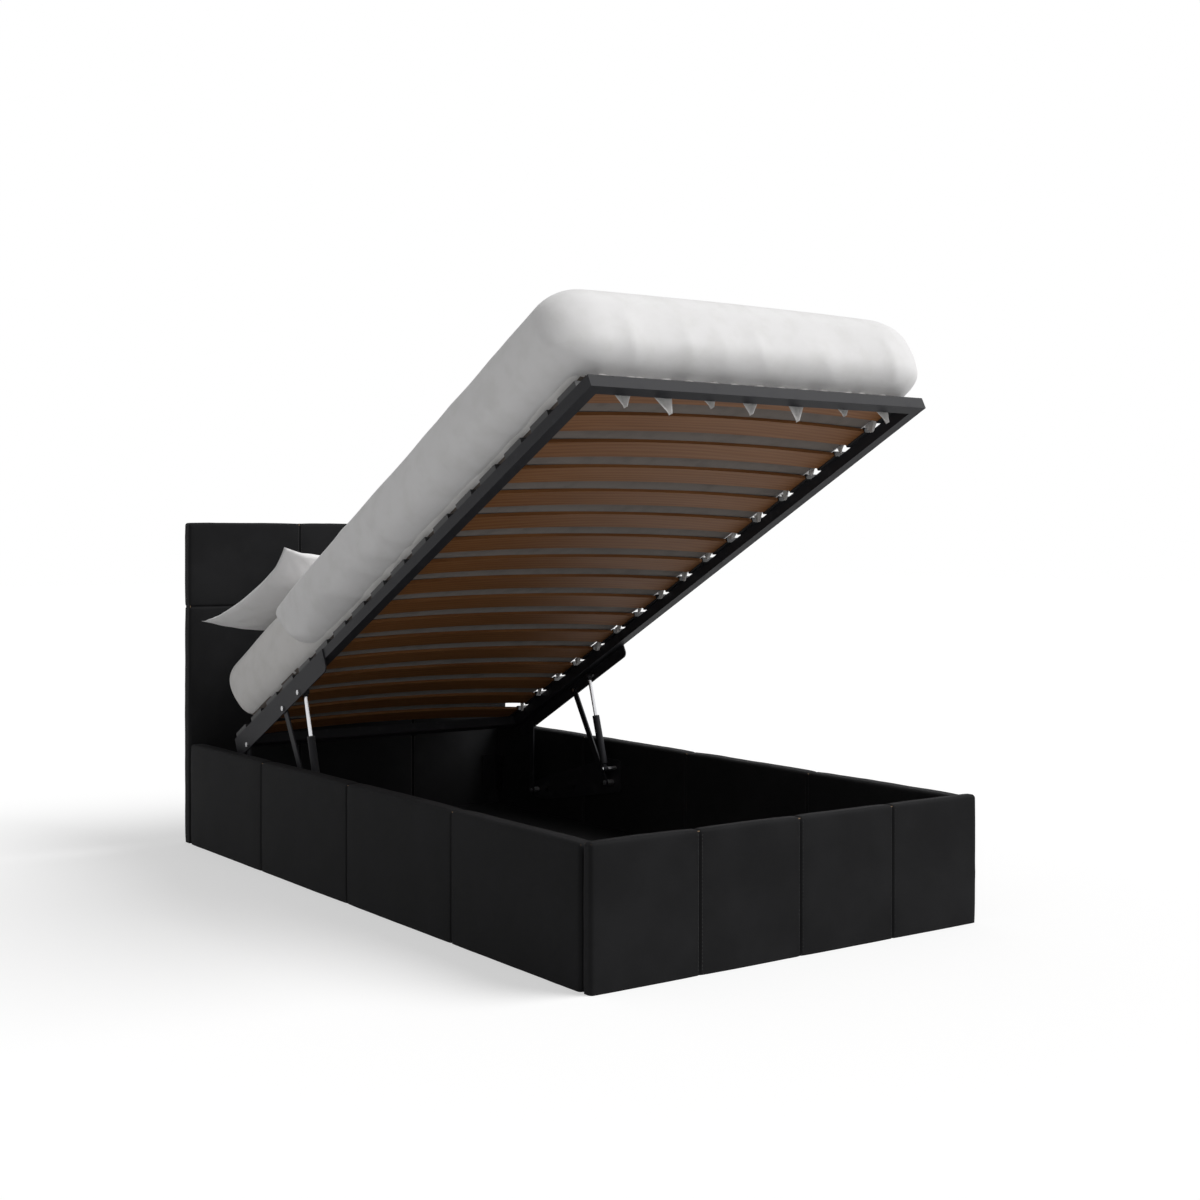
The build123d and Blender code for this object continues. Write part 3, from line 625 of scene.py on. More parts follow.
@dataclass
class PaddedBoard:
    """A board in padded leather, sewn in panels.

    Attributes:
        node: The CAD cover that this board replaces.
        normal_axis: The thin axis, 0 for X and 1 for Y.
        columns: Places of the upright seams along the board.
        rows: Heights of the level seams.
        body: The CAD body that it rides on.
        radius: Radius of the board's edges.
        seam_depth: Depth of a seam's valley.
        seam_width: Width of that valley.
        padding: How far a panel's middle stands out past its seams.
        padding_reach: Distance from a seam over which the padding rises.
        deepest: Depth below which nothing is pressed in.
        grid_step: Widest step of the cover's grid.
        seam_lines: Distances from a seam at which a grid line lies.
        edge_lines: The same from an edge, as shares of the radius.
        waves: Height, spots to the metre and mean level of each soft wave.
        stitch_pitch: Distance from stitch to stitch.
        stitch_aside: Distance of the stitches from their seam.
        stitch_depth: Depth of the stitches below the board's face.
        stitch_ends: Distance of the first and last stitch from the board's ends.
    """

    node: str
    normal_axis: int
    columns: tuple[float, ...]
    rows: tuple[float, ...] = ()
    body: str = "base"
    radius: float = 0.011
    seam_depth: float = 0.0036
    seam_width: float = 0.0055
    padding: float = 0.0018
    padding_reach: float = 0.03
    deepest: float = 0.0062
    grid_step: float = 0.022
    seam_lines: tuple[float, ...] = (0.0, 0.0009, 0.0018, 0.0028, 0.0042, 0.0062, 0.009, 0.013)
    edge_lines: tuple[float, ...] = (0.0, 0.12, 0.3, 0.5, 0.72, 1.0, 1.6)
    waves: tuple[Point, ...] = ((0.0009, 9.0, 0.6), (0.0005, 31.0, 0.5))
    stitch_pitch: float = 0.0075
    stitch_aside: float = 0.0052
    stitch_depth: float = 0.0022
    stitch_ends: tuple[float, float] = (0.012, 0.014)

    def build(self) -> None:
        """Makes the cover and its stitches."""
        low, high = (np.array(corner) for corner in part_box(self.node))
        points, faces = box_grid(self.grid(low, high))
        flat = points.copy()
        points, outward = round_box(points, low, high, np.full(3, self.radius), (0, 0, 1))
        points = points + outward * self.relief(flat, low, high)[:, None]
        points = np.clip(points, low, high)
        cover = new_mesh(self.node + "_leather", points, faces, Finishes.LEATHER)
        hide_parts(self.node)
        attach(cover, self.body)
        self.sew(low, high)
        log.info("board %s", self.node)

    def grid(self, low: np.ndarray, high: np.ndarray) -> list[np.ndarray]:
        """Places of the grid lines on each axis, closer at the seams and edges."""
        edge = [self.radius * share for share in self.edge_lines]
        lines = []
        for axis in range(3):
            marks = {1 - self.normal_axis: self.columns, 2: self.rows}.get(axis, ())
            fine = graded(low[axis], high[axis], self.grid_step, marks, self.seam_lines)
            ends = [low[axis] + d for d in edge] + [high[axis] - d for d in edge]
            inside = [p for p in fine if low[axis] + edge[-1] < p < high[axis] - edge[-1]]
            lines.append(np.unique(np.round(np.concatenate([ends, inside]), 7)))
        return lines

    def relief(self, points: np.ndarray, low: np.ndarray, high: np.ndarray) -> np.ndarray:
        """Height of the padding over the flat board, in metres, never above 0.

        Args:
            points: Points on the flat board.
            low: Its low corner.
            high: Its high corner.

        Returns:
            One height for each point.
        """
        along = 1 - self.normal_axis
        height = np.zeros(len(points))
        for axis, seams in ((along, self.columns), (2, self.rows)):
            borders = np.array([low[axis], *seams, high[axis]])
            distance = np.abs(points[:, axis, None] - borders[None, :]).min(axis=1)
            height -= self.padding * np.exp(-distance / self.padding_reach)
            for place in seams:
                near = np.abs(points[:, axis] - place)
                height -= self.seam_depth * np.exp(-((near / (self.seam_width / 2)) ** 2))
        for index, point in enumerate(points):
            spot = Vector(point)
            for size, scale, level in self.waves:
                height[index] += size * (noise.noise(spot * scale) - level)
        return np.maximum(height, -self.deepest)

    def sew(self, low: np.ndarray, high: np.ndarray) -> None:
        """Adds the stitches on both sides of each upright seam, on the board's two faces."""
        thin = self.normal_axis
        thread = bmesh.new()
        for place, face in product(self.columns, (low[thin], high[thin])):
            depth = np.sign(face - (low[thin] + high[thin]) / 2)
            for side in (-1, 1):
                across = place + side * self.stitch_aside
                height = low[2] + self.stitch_ends[0]
                while height < high[2] - self.stitch_ends[1]:
                    self.stitch(thread, across, face - depth * self.stitch_depth, height, depth)
                    height += self.stitch_pitch
        mesh = bpy.data.meshes.new(self.node + "_stitches")
        thread.to_mesh(mesh)
        thread.free()
        piece = bpy.data.objects.new(self.node + "_stitches", mesh)
        bpy.context.scene.collection.objects.link(piece)
        mesh.materials.append(Finishes.THREAD.build())
        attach(piece, self.body)

    def stitch(
        self, thread: bmesh.types.BMesh, place: float, face: float, height: float, depth: float
    ) -> None:
        """Adds one stitch: a low bead of thread that narrows to its ends.

        Args:
            thread: The mesh that takes the stitch.
            place: Its place along the board.
            face: Its place on the thin axis.
            height: Height of its middle.
            depth: -1 or 1, the way the face looks.
        """
        length, width, rise = 0.0046, 0.0007, 0.0006
        ring = []
        for step, wide in ((-0.5, 0.2), (-0.3, 1.0), (0.3, 1.0), (0.5, 0.2)):
            level = height + step * length
            corners = []
            for across, out in ((-wide, 0.0), (0.0, wide), (wide, 0.0)):
                spot = [0.0, 0.0, level]
                spot[1 - self.normal_axis] = place + across * width
                spot[self.normal_axis] = face + depth * out * rise
                corners.append(thread.verts.new(spot))
            ring.append(corners)
        for lower, upper in zip(ring, ring[1:]):
            for index in range(3):
                other = (index + 1) % 3
                thread.faces.new((lower[index], lower[other], upper[other], upper[index]))
        thread.faces.new(ring[0][::-1])
        thread.faces.new(ring[-1])


@dataclass
class Base:
    """The upholstered base and what its store holds.

    Attributes:
        frame: The loaded frame.
        headboard_seam: Place of the headboard's upright seams on each side of its middle.
        headboard_row: Height of its level seam.
        side_panels: Panels on a side rail.
        foot_panels: Panels on the footboard.
    """

    frame: dict
    headboard_seam: float = 0.188
    headboard_row: float = 0.666
    side_panels: int = 4
    foot_panels: int = 4

    def build(self) -> None:
        """Makes the four boards and dresses the rest of the base."""
        low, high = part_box("side_rail_cover_left")
        span = high[1] - low[1]
        steps = range(1, self.side_panels)
        rail_seams = tuple(low[1] + span * step / self.side_panels for step in steps)
        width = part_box("footboard_cover")[1][0] * 2
        steps = range(1, self.foot_panels)
        foot_seams = tuple(width * (step / self.foot_panels - 0.5) for step in steps)
        head_seams = (-self.headboard_seam, self.headboard_seam)
        boards = (
            PaddedBoard("headboard_cover", 1, head_seams, (self.headboard_row,)),
            PaddedBoard("footboard_cover", 1, foot_seams),
            PaddedBoard("side_rail_cover_left", 0, rail_seams),
            PaddedBoard("side_rail_cover_right", 0, rail_seams),
        )
        for board in boards:
            board.build()
        for name in ("headboard_core", "footboard_core", "side_rail_core_left", "side_rail_core_right"):
            dress_node(self.frame, name, Finishes.CHIPBOARD)
        for node in ("floor_batten_left", "floor_batten_right", "foot_rest_batten"):
            dress_node(self.frame, node, Finishes.BATTEN, 0.0015)
        for node in ("floor_board_foot", "floor_board_head"):
            dress_node(self.frame, node, Finishes.FLOOR, 0.0006)
        dress_node(self.frame, "corner_brackets", Finishes.DARK_ZINC, 0.0006)
        dress_node(self.frame, "board_screws", Finishes.DARK_ZINC)
        dress_node(self.frame, "rest_buffers", Finishes.RUBBER, 0.0008)
        log.info("base dressed")


# Deck


@dataclass(frozen=True)
class DeckPlace:
    """The raised deck's own axes: across, along from its foot end, and up.

    Attributes:
        angle: Slope of the deck in degrees.
        foot: Lower outer corner of its foot end as (y, z).
    """

    angle: float = 27.2
    foot: tuple[float, float] = (-0.906, 1.148)

    def point(self, across: float, along: float, up: float) -> Point:
        """The place in the shared frame of a point of the deck."""
        c, s = math.cos(math.radians(self.angle)), math.sin(math.radians(self.angle))
        return (across, self.foot[0] + along * c + up * s, self.foot[1] - along * s + up * c)

    def points(self, local: np.ndarray) -> np.ndarray:
        """The places in the shared frame of an array of the deck's points."""
        c, s = math.cos(math.radians(self.angle)), math.sin(math.radians(self.angle))
        world = local.copy()
        world[:, 1] = self.foot[0] + local[:, 1] * c + local[:, 2] * s
        world[:, 2] = self.foot[1] - local[:, 1] * s + local[:, 2] * c
        return world


@dataclass
class Deck:
    """The steel deck with its slats, holders and lift plates.

    Attributes:
        frame: The loaded frame.
        slats: Number of slats.
    """

    frame: dict
    slats: int = 17

    def build(self) -> None:
        """Dresses the CAD nodes of the deck."""
        for name in ("left", "right", "foot", "head"):
            dress_node(self.frame, "deck_tube_" + name, Finishes.STEEL, 0.0015)
        for name in ("left", "right"):
            dress_node(self.frame, "lift_plate_" + name, Finishes.STEEL, 0.0006)
            dress_node(self.frame, "slat_holders_" + name, Finishes.PLASTIC, 0.0008)
        for index in range(1, self.slats + 1):
            dress_node(self.frame, f"slat_{index:02d}", Finishes.PLYWOOD, 0.0014)
        dress_node(self.frame, "lift_pins", Finishes.ZINC, 0.0005)
        log.info("deck dressed")


@dataclass
class Mechanism:
    """The arms, struts and base plates.

    Attributes:
        frame: The loaded frame.
    """

    frame: dict

    def build(self) -> None:
        """Dresses the CAD nodes of the mechanism."""
        for name in ("left", "right"):
            for node in ("base_bracket_", "front_arm_", "rear_arm_", "strut_cylinder_"):
                dress_node(self.frame, node + name, Finishes.STEEL, 0.0004)
            dress_node(self.frame, "strut_rod_" + name, Finishes.CHROME)
        dress_node(self.frame, "strut_glands", Finishes.PLASTIC)
        dress_node(self.frame, "strut_eyes", Finishes.STEEL, 0.0004)
        dress_node(self.frame, "base_pins", Finishes.ZINC)
        log.info("mechanism dressed")


# Bedding


def smooth(value: np.ndarray, low: float, high: float) -> np.ndarray:
    """0 at and below low, 1 at and above high, and smooth between them."""
    share = np.clip((value - low) / (high - low), 0.0, 1.0)
    return share * share * (3 - 2 * share)


def field_noise(points: np.ndarray, scale: Point, seed: float) -> np.ndarray:
    """Smooth noise at many points, from about -1 to 1.

    Args:
        points: Places in metres.
        scale: Spots to the metre along each axis.
        seed: Moves the pattern.

    Returns:
        One value for each point.
    """
    shifted = points * np.array(scale) + seed
    return np.array([noise.noise(Vector(place)) for place in shifted])


@dataclass
class SoftBlock:
    """A stuffed block on the deck, in the deck's own axes: across, along and up.

    Attributes:
        low: Low corner in metres.
        high: High corner in metres.
        radius: Edge radius along each axis.
        step: Grid step.
    """

    low: Point
    high: Point
    radius: Point
    step: float = 0.011

    def surface(self) -> tuple[np.ndarray, list[tuple[int, int, int, int]], np.ndarray]:
        """The rounded block's points, faces and outward directions."""
        low, high = np.array(self.low), np.array(self.high)
        lines = [
            np.linspace(low[axis], high[axis], max(8, int((high[axis] - low[axis]) / self.step)) + 1)
            for axis in range(3)
        ]
        points, faces = box_grid(lines)
        points, outward = round_box(points, low, high, np.array(self.radius))
        return points, faces, outward


def fold_lines(points: np.ndarray, lean: float, seed: float, sharp: float = 3.0) -> np.ndarray:
    """Long creases that run aslant over a side, from 0 to 1 at their crests.

    Args:
        points: Places in the deck's axes.
        lean: Slope of the creases, up per metre along.
        seed: Moves the pattern.
        sharp: How narrow the crests are.

    Returns:
        One value for each point.
    """
    turned = points.copy()
    turned[:, 1] = (points[:, 1] - points[:, 2] * lean) * 5.2
    turned[:, 2] = (points[:, 2] + points[:, 1] * lean * 0.3) * 1.7
    turned[:, 0] = np.sign(points[:, 0]) * 3.1
    value = field_noise(turned, (1, 1, 1), seed)
    return np.clip(1 - np.abs(value) * 2.2, 0, 1) ** sharp


@dataclass
class SoftPiece:
    """A padded piece on the raised deck, shaped in the deck's own axes.

    Attributes:
        deck: Where the raised deck stands.
        bottom: Height of the slats' upper face at their ends.
        arch: How far the slats bow up in the middle.
        slat_reach: Half the slats' length.
        first_slat: Place of the first slat.
        slat_pitch: Distance from slat to slat.
    """

    deck: DeckPlace = field(default_factory=DeckPlace)
    bottom: float = 0.0405
    arch: float = 0.0128
    slat_reach: float = 0.455
    first_slat: float = 0.080
    slat_pitch: float = 0.1107

    def lay(
        self, names: tuple[str, str, str], points: np.ndarray, faces: list, finish: Finishes, fill: float
    ) -> bpy.types.Object:
        """Args:
            names: The object's name, the CAD node that it stands for and its material slot.
            points: Its points in the deck's axes.
            faces: Its faces.
            finish: Its finish.
            fill: How full it is, from 0 to 1; not used.

        Returns:
            The piece.
        """
        name, node, slot = names
        piece = new_mesh(name, self.deck.points(points), faces, finish)
        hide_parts(node)
        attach(piece, "platform")
        log.info("bedding %s", name)
        return piece

    def gap(self, along: np.ndarray) -> np.ndarray:
        """1 midway between two slats and 0 over a slat."""
        phase = (along - self.first_slat) / self.slat_pitch
        return smooth(0.5 - 0.5 * np.cos(2 * np.pi * phase), 0.35, 1.0)

    def under(self, points: np.ndarray) -> np.ndarray:
        """Height of the bedding's underside where it lies on the bowed slats."""
        across = np.clip(points[:, 0] / self.slat_reach, -1, 1)
        return self.bottom + self.arch * (1 - across**2)


@dataclass
class Mattress(SoftPiece):
    """The mattress in its fitted sheet, with loose cloth that hangs through the deck's gaps.

    Attributes:
        half_width: Half its width.
        foot: Place of its foot end.
        head: Place of its head end.
        top: Height of its upper face.
        rounding: Edge radius along each axis.
        side_swell: How far its sides bulge at mid height.
        end_swell: How far its head end bulges at mid height.
        crown: How far its top rises to the middle.
        wrinkle: Height of the wrinkles on its sides.
        crease: Height of the creases on its head end.
        sag: How far it sinks between two slats.
        draw: How far the cloth is drawn in under the head end.
        corner_draw: How much further it is drawn in at the corners.
        draw_top: Height at which the drawing in starts.
        draw_height: Height over which it grows to its full measure.
        slats: Number of slats.
        left_gaps: Gaps with loose cloth beside the left tube, counted from the foot end.
        rail_cloth: Place across of the cloth's roots beside a side tube.
        foot_cloth: Places across of the loose cloth behind the foot tube.
    """

    half_width: float = 0.455
    foot: float = 0.02
    head: float = 1.893
    top: float = 0.238
    rounding: Point = (0.045, 0.06, 0.05)
    side_swell: float = 0.012
    end_swell: float = 0.006
    crown: float = 0.008
    wrinkle: float = 0.006
    crease: float = 0.003
    sag: float = 0.0045
    draw: float = 0.03
    corner_draw: float = 0.055
    draw_top: float = 0.179
    draw_height: float = 0.14
    slats: int = 17
    left_gaps: tuple[int, ...] = (2, 5, 6, 9, 10, 14)
    rail_cloth: float = 0.428
    foot_cloth: tuple[float, ...] = (-0.36, -0.27, -0.145, -0.02, 0.11, 0.235, 0.345)

    def build(self) -> None:
        """Makes the mattress with its loose cloth, and gives its underside painted shade in a darker
        cloth colour.
        """
        low = (-self.half_width, self.foot, self.bottom)
        high = (self.half_width, self.head, self.top)
        points, faces, outward = SoftBlock(low, high, self.rounding).surface()
        self.shape(points, outward)
        cloth, cloth_faces = self.loose_cloth(len(points))
        names = ("mattress_in_sheet", "mattress", "mattress_fabric")
        joined = np.vstack([points, cloth])
        piece = self.lay(names, joined, [*faces, *cloth_faces], Finishes.MATTRESS, 0.9)
        # Painted shade: the downward faces take the darker underside colour, which stands in for the
        # shade under the mattress.
        piece.data.materials.append(Finishes.UNDERSIDE.build())
        lower = Vector(self.deck.point(0, 0, -1))
        downward = lower - Vector(self.deck.point(0, 0, 0))
        for face in piece.data.polygons[: len(faces)]:
            if face.normal.dot(downward) > 0.8:
                face.material_index = 1

    def shape(self, points: np.ndarray, outward: np.ndarray) -> None:
        """Swells, wrinkles and settles the block's points in place.

        Args:
            points: Points of the rounded block.
            outward: Their outward directions.
        """
        height = (points[:, 2] - self.bottom) / (self.top - self.bottom)
        full = np.sin(np.pi * np.clip(height, 0, 1))
        wrinkles = fold_lines(points, lean=-0.9, seed=4.0) * smooth(points[:, 1], 1.35, 1.75)
        points[:, 0] += outward[:, 0] * (self.side_swell * full + self.wrinkle * wrinkles)
        head = smooth(points[:, 1], 1.7, 1.9)
        corner = smooth(np.abs(points[:, 0]), 0.25, 0.44)
        drawn = np.clip((self.draw_top - points[:, 2]) / self.draw_height, 0, 1) ** 1.3
        headward = np.clip(outward[:, 1], 0, 1)
        points[:, 1] += headward * self.end_swell * full
        points[:, 1] -= head * (self.draw + self.corner_draw * corner) * drawn
        creases = fold_lines(points[:, [1, 0, 2]], lean=0.6, seed=9.0)
        points[:, 1] += headward * self.crease * creases
        upward = np.clip(outward[:, 2], 0, 1)
        points[:, 2] += upward * self.crown * (1 - (points[:, 0] / self.half_width) ** 2)
        downward = np.clip(-outward[:, 2], 0, 1)
        points[:, 2] += downward * (self.under(points) - self.bottom)
        between = smooth(0.44 - np.abs(points[:, 0]), 0.0, 0.05) * self.gap(points[:, 1])
        points[:, 2] -= downward * self.sag * between

    def loose_cloth(self, start: int) -> tuple[np.ndarray, list[tuple[int, ...]]]:
        """Loose cloth that hangs through the gaps beside the side tubes and the foot tube.

        Args:
            start: Number of the first point.

        Returns:
            The points and the faces.
        """
        points: list[Point] = []
        faces: list[tuple[int, ...]] = []
        for index in range(1, self.slats):
            self.join(points, faces, self.rail_tip(index, 1, 0.020, 0.006, 1.7), start)
            if index in self.left_gaps:
                self.join(points, faces, self.rail_tip(index, -1, 0.018, 0.008, 2.9), start)
        for index, across in enumerate(self.foot_cloth):
            self.join(points, faces, self.foot_tip(index, across), start)
        return np.array(points), faces

    def rail_tip(
        self, index: int, side: int, drop: float, change: float, turn: float
    ) -> list[list[Point]]:
        """The cloth in one gap beside a side tube.

        Args:
            index: The gap's number.
            side: -1 for the left tube, 1 for the right one.
            drop: Mean length of the cloth.
            change: How much that length changes from gap to gap.
            turn: How fast it changes.

        Returns:
            Rows of points.
        """
        middle = self.first_slat + (index - 0.5) * self.slat_pitch
        wide = 0.020 + 0.004 * math.sin(index * 2.3)
        hang = drop + change * math.sin(index * turn)
        lean = 0.1 * math.sin(middle * 17)
        return self.tip(lambda u, v: (
            side * (self.rail_cloth - 0.010 * v + 0.004 * math.sin(u * 5 + middle * 9)),
            middle + (u - lean) * wide * (1 - 0.85 * v),
            self.bottom + 0.004 - (hang + 0.004) * v + 0.003 * math.cos(u * 3) * (1 - v),
        ))

    def foot_tip(self, index: int, across: float) -> list[list[Point]]:
        """The cloth at one place behind the foot tube."""
        drop = 0.072 + 0.012 * math.sin(index * 2.1)
        lean = 0.02 * math.sin(index * 1.3)
        wide = 0.046 + 0.012 * math.sin(index * 3.1)
        return self.tip(lambda u, v: (
            across + u * wide * (1 - 0.9 * v) + lean * v,
            0.036 + 0.004 * v + 0.004 * math.cos(u * 4),
            self.bottom + 0.012 - drop * v,
        ))

    def tip(self, place: Callable[[float, float], Point]) -> list[list[Point]]:
        """Rows of points over a piece of loose cloth, from its root to its tip."""
        return [[place(u / 5 - 1, v / 6) for u in range(11)] for v in range(7)]

    def join(self, points: list, faces: list, grid: list[list[Point]], start: int) -> None:
        """Adds a grid's points and faces to those that are there.

        Args:
            points: The points so far.
            faces: The faces so far.
            grid: Rows of new points.
            start: Number of the first of all points.
        """
        first = start + len(points)
        wide = len(grid[0])
        for row in grid:
            points.extend(row)
        for v in range(len(grid) - 1):
            for u in range(wide - 1):
                corner = first + v * wide + u
                faces.append((corner, corner + 1, corner + wide + 1, corner + wide))


@dataclass
class Duvet(SoftPiece):
    """The duvet, tucked in at the foot and the sides, with its hem towards the pillow.

    Attributes:
        half_width: Half its width over the mattress.
        foot: Place of its foot end.
        hem: Place of its hem.
        top: Height of its upper face.
        lift: Height of its lower edge over the slats' ends.
        rounding: Edge radius along each axis.
        step: Grid step.
        side_swell: How far its left side bulges.
        right_swell: How much further its right side bulges.
        end_swell: How far its foot end bulges.
        crown: How far its top rises to the middle.
        long_fold: Height of the folds that run over a whole side.
        low_fold: Height of the folds along the lower edge.
        low_tuck: How far the lower edge is pulled in.
        foot_fold: Height of the folds at the foot end.
        ripple: Height of the soft waves on its top.
        hem_pull: How far the hem's lower corners are pulled towards the foot.
        narrowest: Half the width that the lower edge is held to.
        freedom: How much wider the sides may stand above it.
    """

    half_width: float = 0.480
    foot: float = -0.004
    hem: float = 1.520
    top: float = 0.252
    lift: float = 0.006
    rounding: Point = (0.085, 0.06, 0.062)
    step: float = 0.0095
    side_swell: float = 0.030
    right_swell: float = 0.022
    end_swell: float = 0.016
    crown: float = 0.007
    long_fold: float = 0.009
    low_fold: float = 0.010
    low_tuck: float = 0.006
    foot_fold: float = 0.006
    ripple: float = 0.004
    hem_pull: float = 0.150
    narrowest: float = 0.4775
    freedom: float = 0.09

    def build(self) -> None:
        """Makes the duvet."""
        low = (-self.half_width, self.foot, self.bottom + self.lift)
        high = (self.half_width, self.hem, self.top)
        points, faces, outward = SoftBlock(low, high, self.rounding, self.step).surface()
        height = np.clip((points[:, 2] - low[2]) / (high[2] - low[2]), 0, 1)
        self.swell(points, outward, height)
        self.fold(points, outward, 1 - smooth(height, 0.25, 0.85))
        self.settle(points, outward)
        hemward = smooth(points[:, 1], 0.95, 1.5)
        points[:, 1] -= self.hem_pull * (1 - height) ** 1.5 * hemward
        limit = self.narrowest + self.freedom * smooth(points[:, 2], 0.04, 0.10)
        points[:, 0] = np.clip(points[:, 0], -limit, limit)
        names = ("duvet_cover", "duvet", "white_cotton")
        self.lay(names, points, faces, Finishes.SHEET, 0.8)

    def swell(self, points: np.ndarray, outward: np.ndarray, height: np.ndarray) -> None:
        """Fills the sides and the foot end out, less towards the hem.

        Args:
            points: The duvet's points, moved in place.
            outward: Their outward directions.
            height: 0 at the lower edge and 1 at the top.
        """
        near_hem = smooth(points[:, 1], 1.15, 1.5)
        right = (points[:, 0] > 0) * 1.0
        full = np.sin(np.pi * height**0.9) ** 0.8
        swell = (self.side_swell + self.right_swell * right) * (1 - 0.72 * near_hem)
        swell = swell * (1 + 0.16 * field_noise(points, (0.2, 2.6, 1.0), 3.0))
        points[:, 0] += outward[:, 0] * swell * full
        points[:, 1] += np.clip(outward[:, 1], -1, 0) * self.end_swell * full

    def fold(self, points: np.ndarray, outward: np.ndarray, lower: np.ndarray) -> None:
        """Lays folds over the sides and the foot end.

        Args:
            points: The duvet's points, moved in place.
            outward: Their outward directions.
            lower: 1 at the lower edge and 0 at the top.
        """
        long_folds = fold_lines(points, lean=1.15, seed=1.5, sharp=2.2)
        low_folds = fold_lines(points, lean=0.7, seed=7.7, sharp=3.0)
        side = np.abs(outward[:, 0]) ** 0.7
        rise = self.long_fold * long_folds * (0.35 + 0.65 * lower)
        rise += self.low_fold * low_folds * lower - self.low_tuck * lower
        points[:, 0] += np.sign(points[:, 0]) * side * rise
        footward = np.clip(-outward[:, 1], 0, 1)
        folds = fold_lines(points[:, [2, 0, 1]], lean=0.5, seed=12.0, sharp=2.0) * lower
        waves = field_noise(points, (4, 1, 6), 5.0)
        points[:, 1] -= footward * self.foot_fold * (folds + 0.5 * waves)

    def settle(self, points: np.ndarray, outward: np.ndarray) -> None:
        """Crowns the top and lifts the underside into the mattress over the bowed slats."""
        upward = np.clip(outward[:, 2], 0, 1)
        points[:, 2] += upward * self.crown * (1 - (points[:, 0] / self.half_width) ** 2)
        points[:, 2] += upward * self.ripple * field_noise(points, (3.2, 2.6, 1.0), 8.0)
        downward = np.clip(-outward[:, 2], 0, 1)
        inside = smooth(points[:, 1], 0.025, 0.075) * smooth(0.475 - np.abs(points[:, 0]), 0.0, 0.045)
        points[:, 2] += downward * inside * (self.under(points) - self.bottom + 0.004)


@dataclass
class Pillow(SoftPiece):
    """The pillow, with pointed corners, drawn-in sides and creases that run from its corners.

    Attributes:
        half_across: Half its length across the bed.
        half_along: Half its width.
        rise: How far its top stands over its seam.
        sink: How far its underside hangs below its seam.
        seam: Height of its seam.
        middle: Its middle, across and along.
        turn: How far it is turned, in degrees.
        end_draw: Share by which its short sides are drawn in.
        side_draw: Share by which its long sides are drawn in.
        crease: Height of the creases at its corners.
        ripple: Height of its soft waves.
        corner_lift: How far its corners turn up.
        cells: Grid cells across and along.
        weld: Distance below which points are joined.
    """

    half_across: float = 0.385
    half_along: float = 0.225
    rise: float = 0.078
    sink: float = 0.040
    seam: float = 0.304
    middle: tuple[float, float] = (-0.130, 1.612)
    turn: float = 8.0
    end_draw: float = 0.055
    side_draw: float = 0.10
    crease: float = 0.005
    ripple: float = 0.004
    corner_lift: float = 0.030
    cells: tuple[int, int] = (84, 56)
    weld: float = 0.0004

    def build(self) -> None:
        """Makes the upper and lower sheets and joins them at the seam."""
        across_count, along_count = self.cells
        points = [
            self.point(level, 2 * i / across_count - 1, 2 * j / along_count - 1)
            for level in (1, -1)
            for i in range(across_count + 1)
            for j in range(along_count + 1)
        ]
        row = along_count + 1
        sheet_size = (across_count + 1) * row
        faces: list[tuple[int, ...]] = []
        for level, i, j in product((0, 1), range(across_count), range(along_count)):
            corner = level * sheet_size + i * row + j
            ring = (corner, corner + row, corner + row + 1, corner + 1)
            faces.append(ring if level == 0 else ring[::-1])
        names = ("pillow_in_case", "pillow", "white_cotton")
        piece = self.lay(names, np.array(points), faces, Finishes.SHEET, 0.7)
        shape = bmesh.new()
        shape.from_mesh(piece.data)
        bmesh.ops.remove_doubles(shape, verts=shape.verts, dist=self.weld)
        shape.to_mesh(piece.data)
        shape.free()

    def point(self, level: int, u: float, v: float) -> Point:
        """One point of a sheet in the deck's axes.

        Args:
            level: 1 for the upper sheet, -1 for the lower one.
            u: Place across, from -1 to 1.
            v: Place along, from -1 to 1.

        Returns:
            The point.
        """
        x = self.half_across * u * (1 - self.end_draw * (1 - v * v))
        y = self.half_along * v * (1 - self.side_draw * (1 - u * u))
        puff = (1 - abs(u) ** 2.6) ** 0.62 * (1 - abs(v) ** 2.4) ** 0.62
        spot = Vector((x * 9, y * 9, level * 4.0))
        bearing = math.atan2(1.02 - abs(v), 1.02 - abs(u))
        fan = math.sin(bearing * 13 + 2 * noise.noise(spot))
        corner = abs(u) * abs(v)
        z = level * puff * (self.rise if level > 0 else self.sink)
        z += self.crease * fan * corner**1.3 * min(1.0, puff * 4)
        z += self.ripple * noise.noise(spot * 0.7) * puff
        z += self.corner_lift * corner**3
        c, s = math.cos(math.radians(self.turn)), math.sin(math.radians(self.turn))
        return (self.middle[0] + x * c - y * s, self.middle[1] + x * s + y * c, self.seam + z)


# Studio


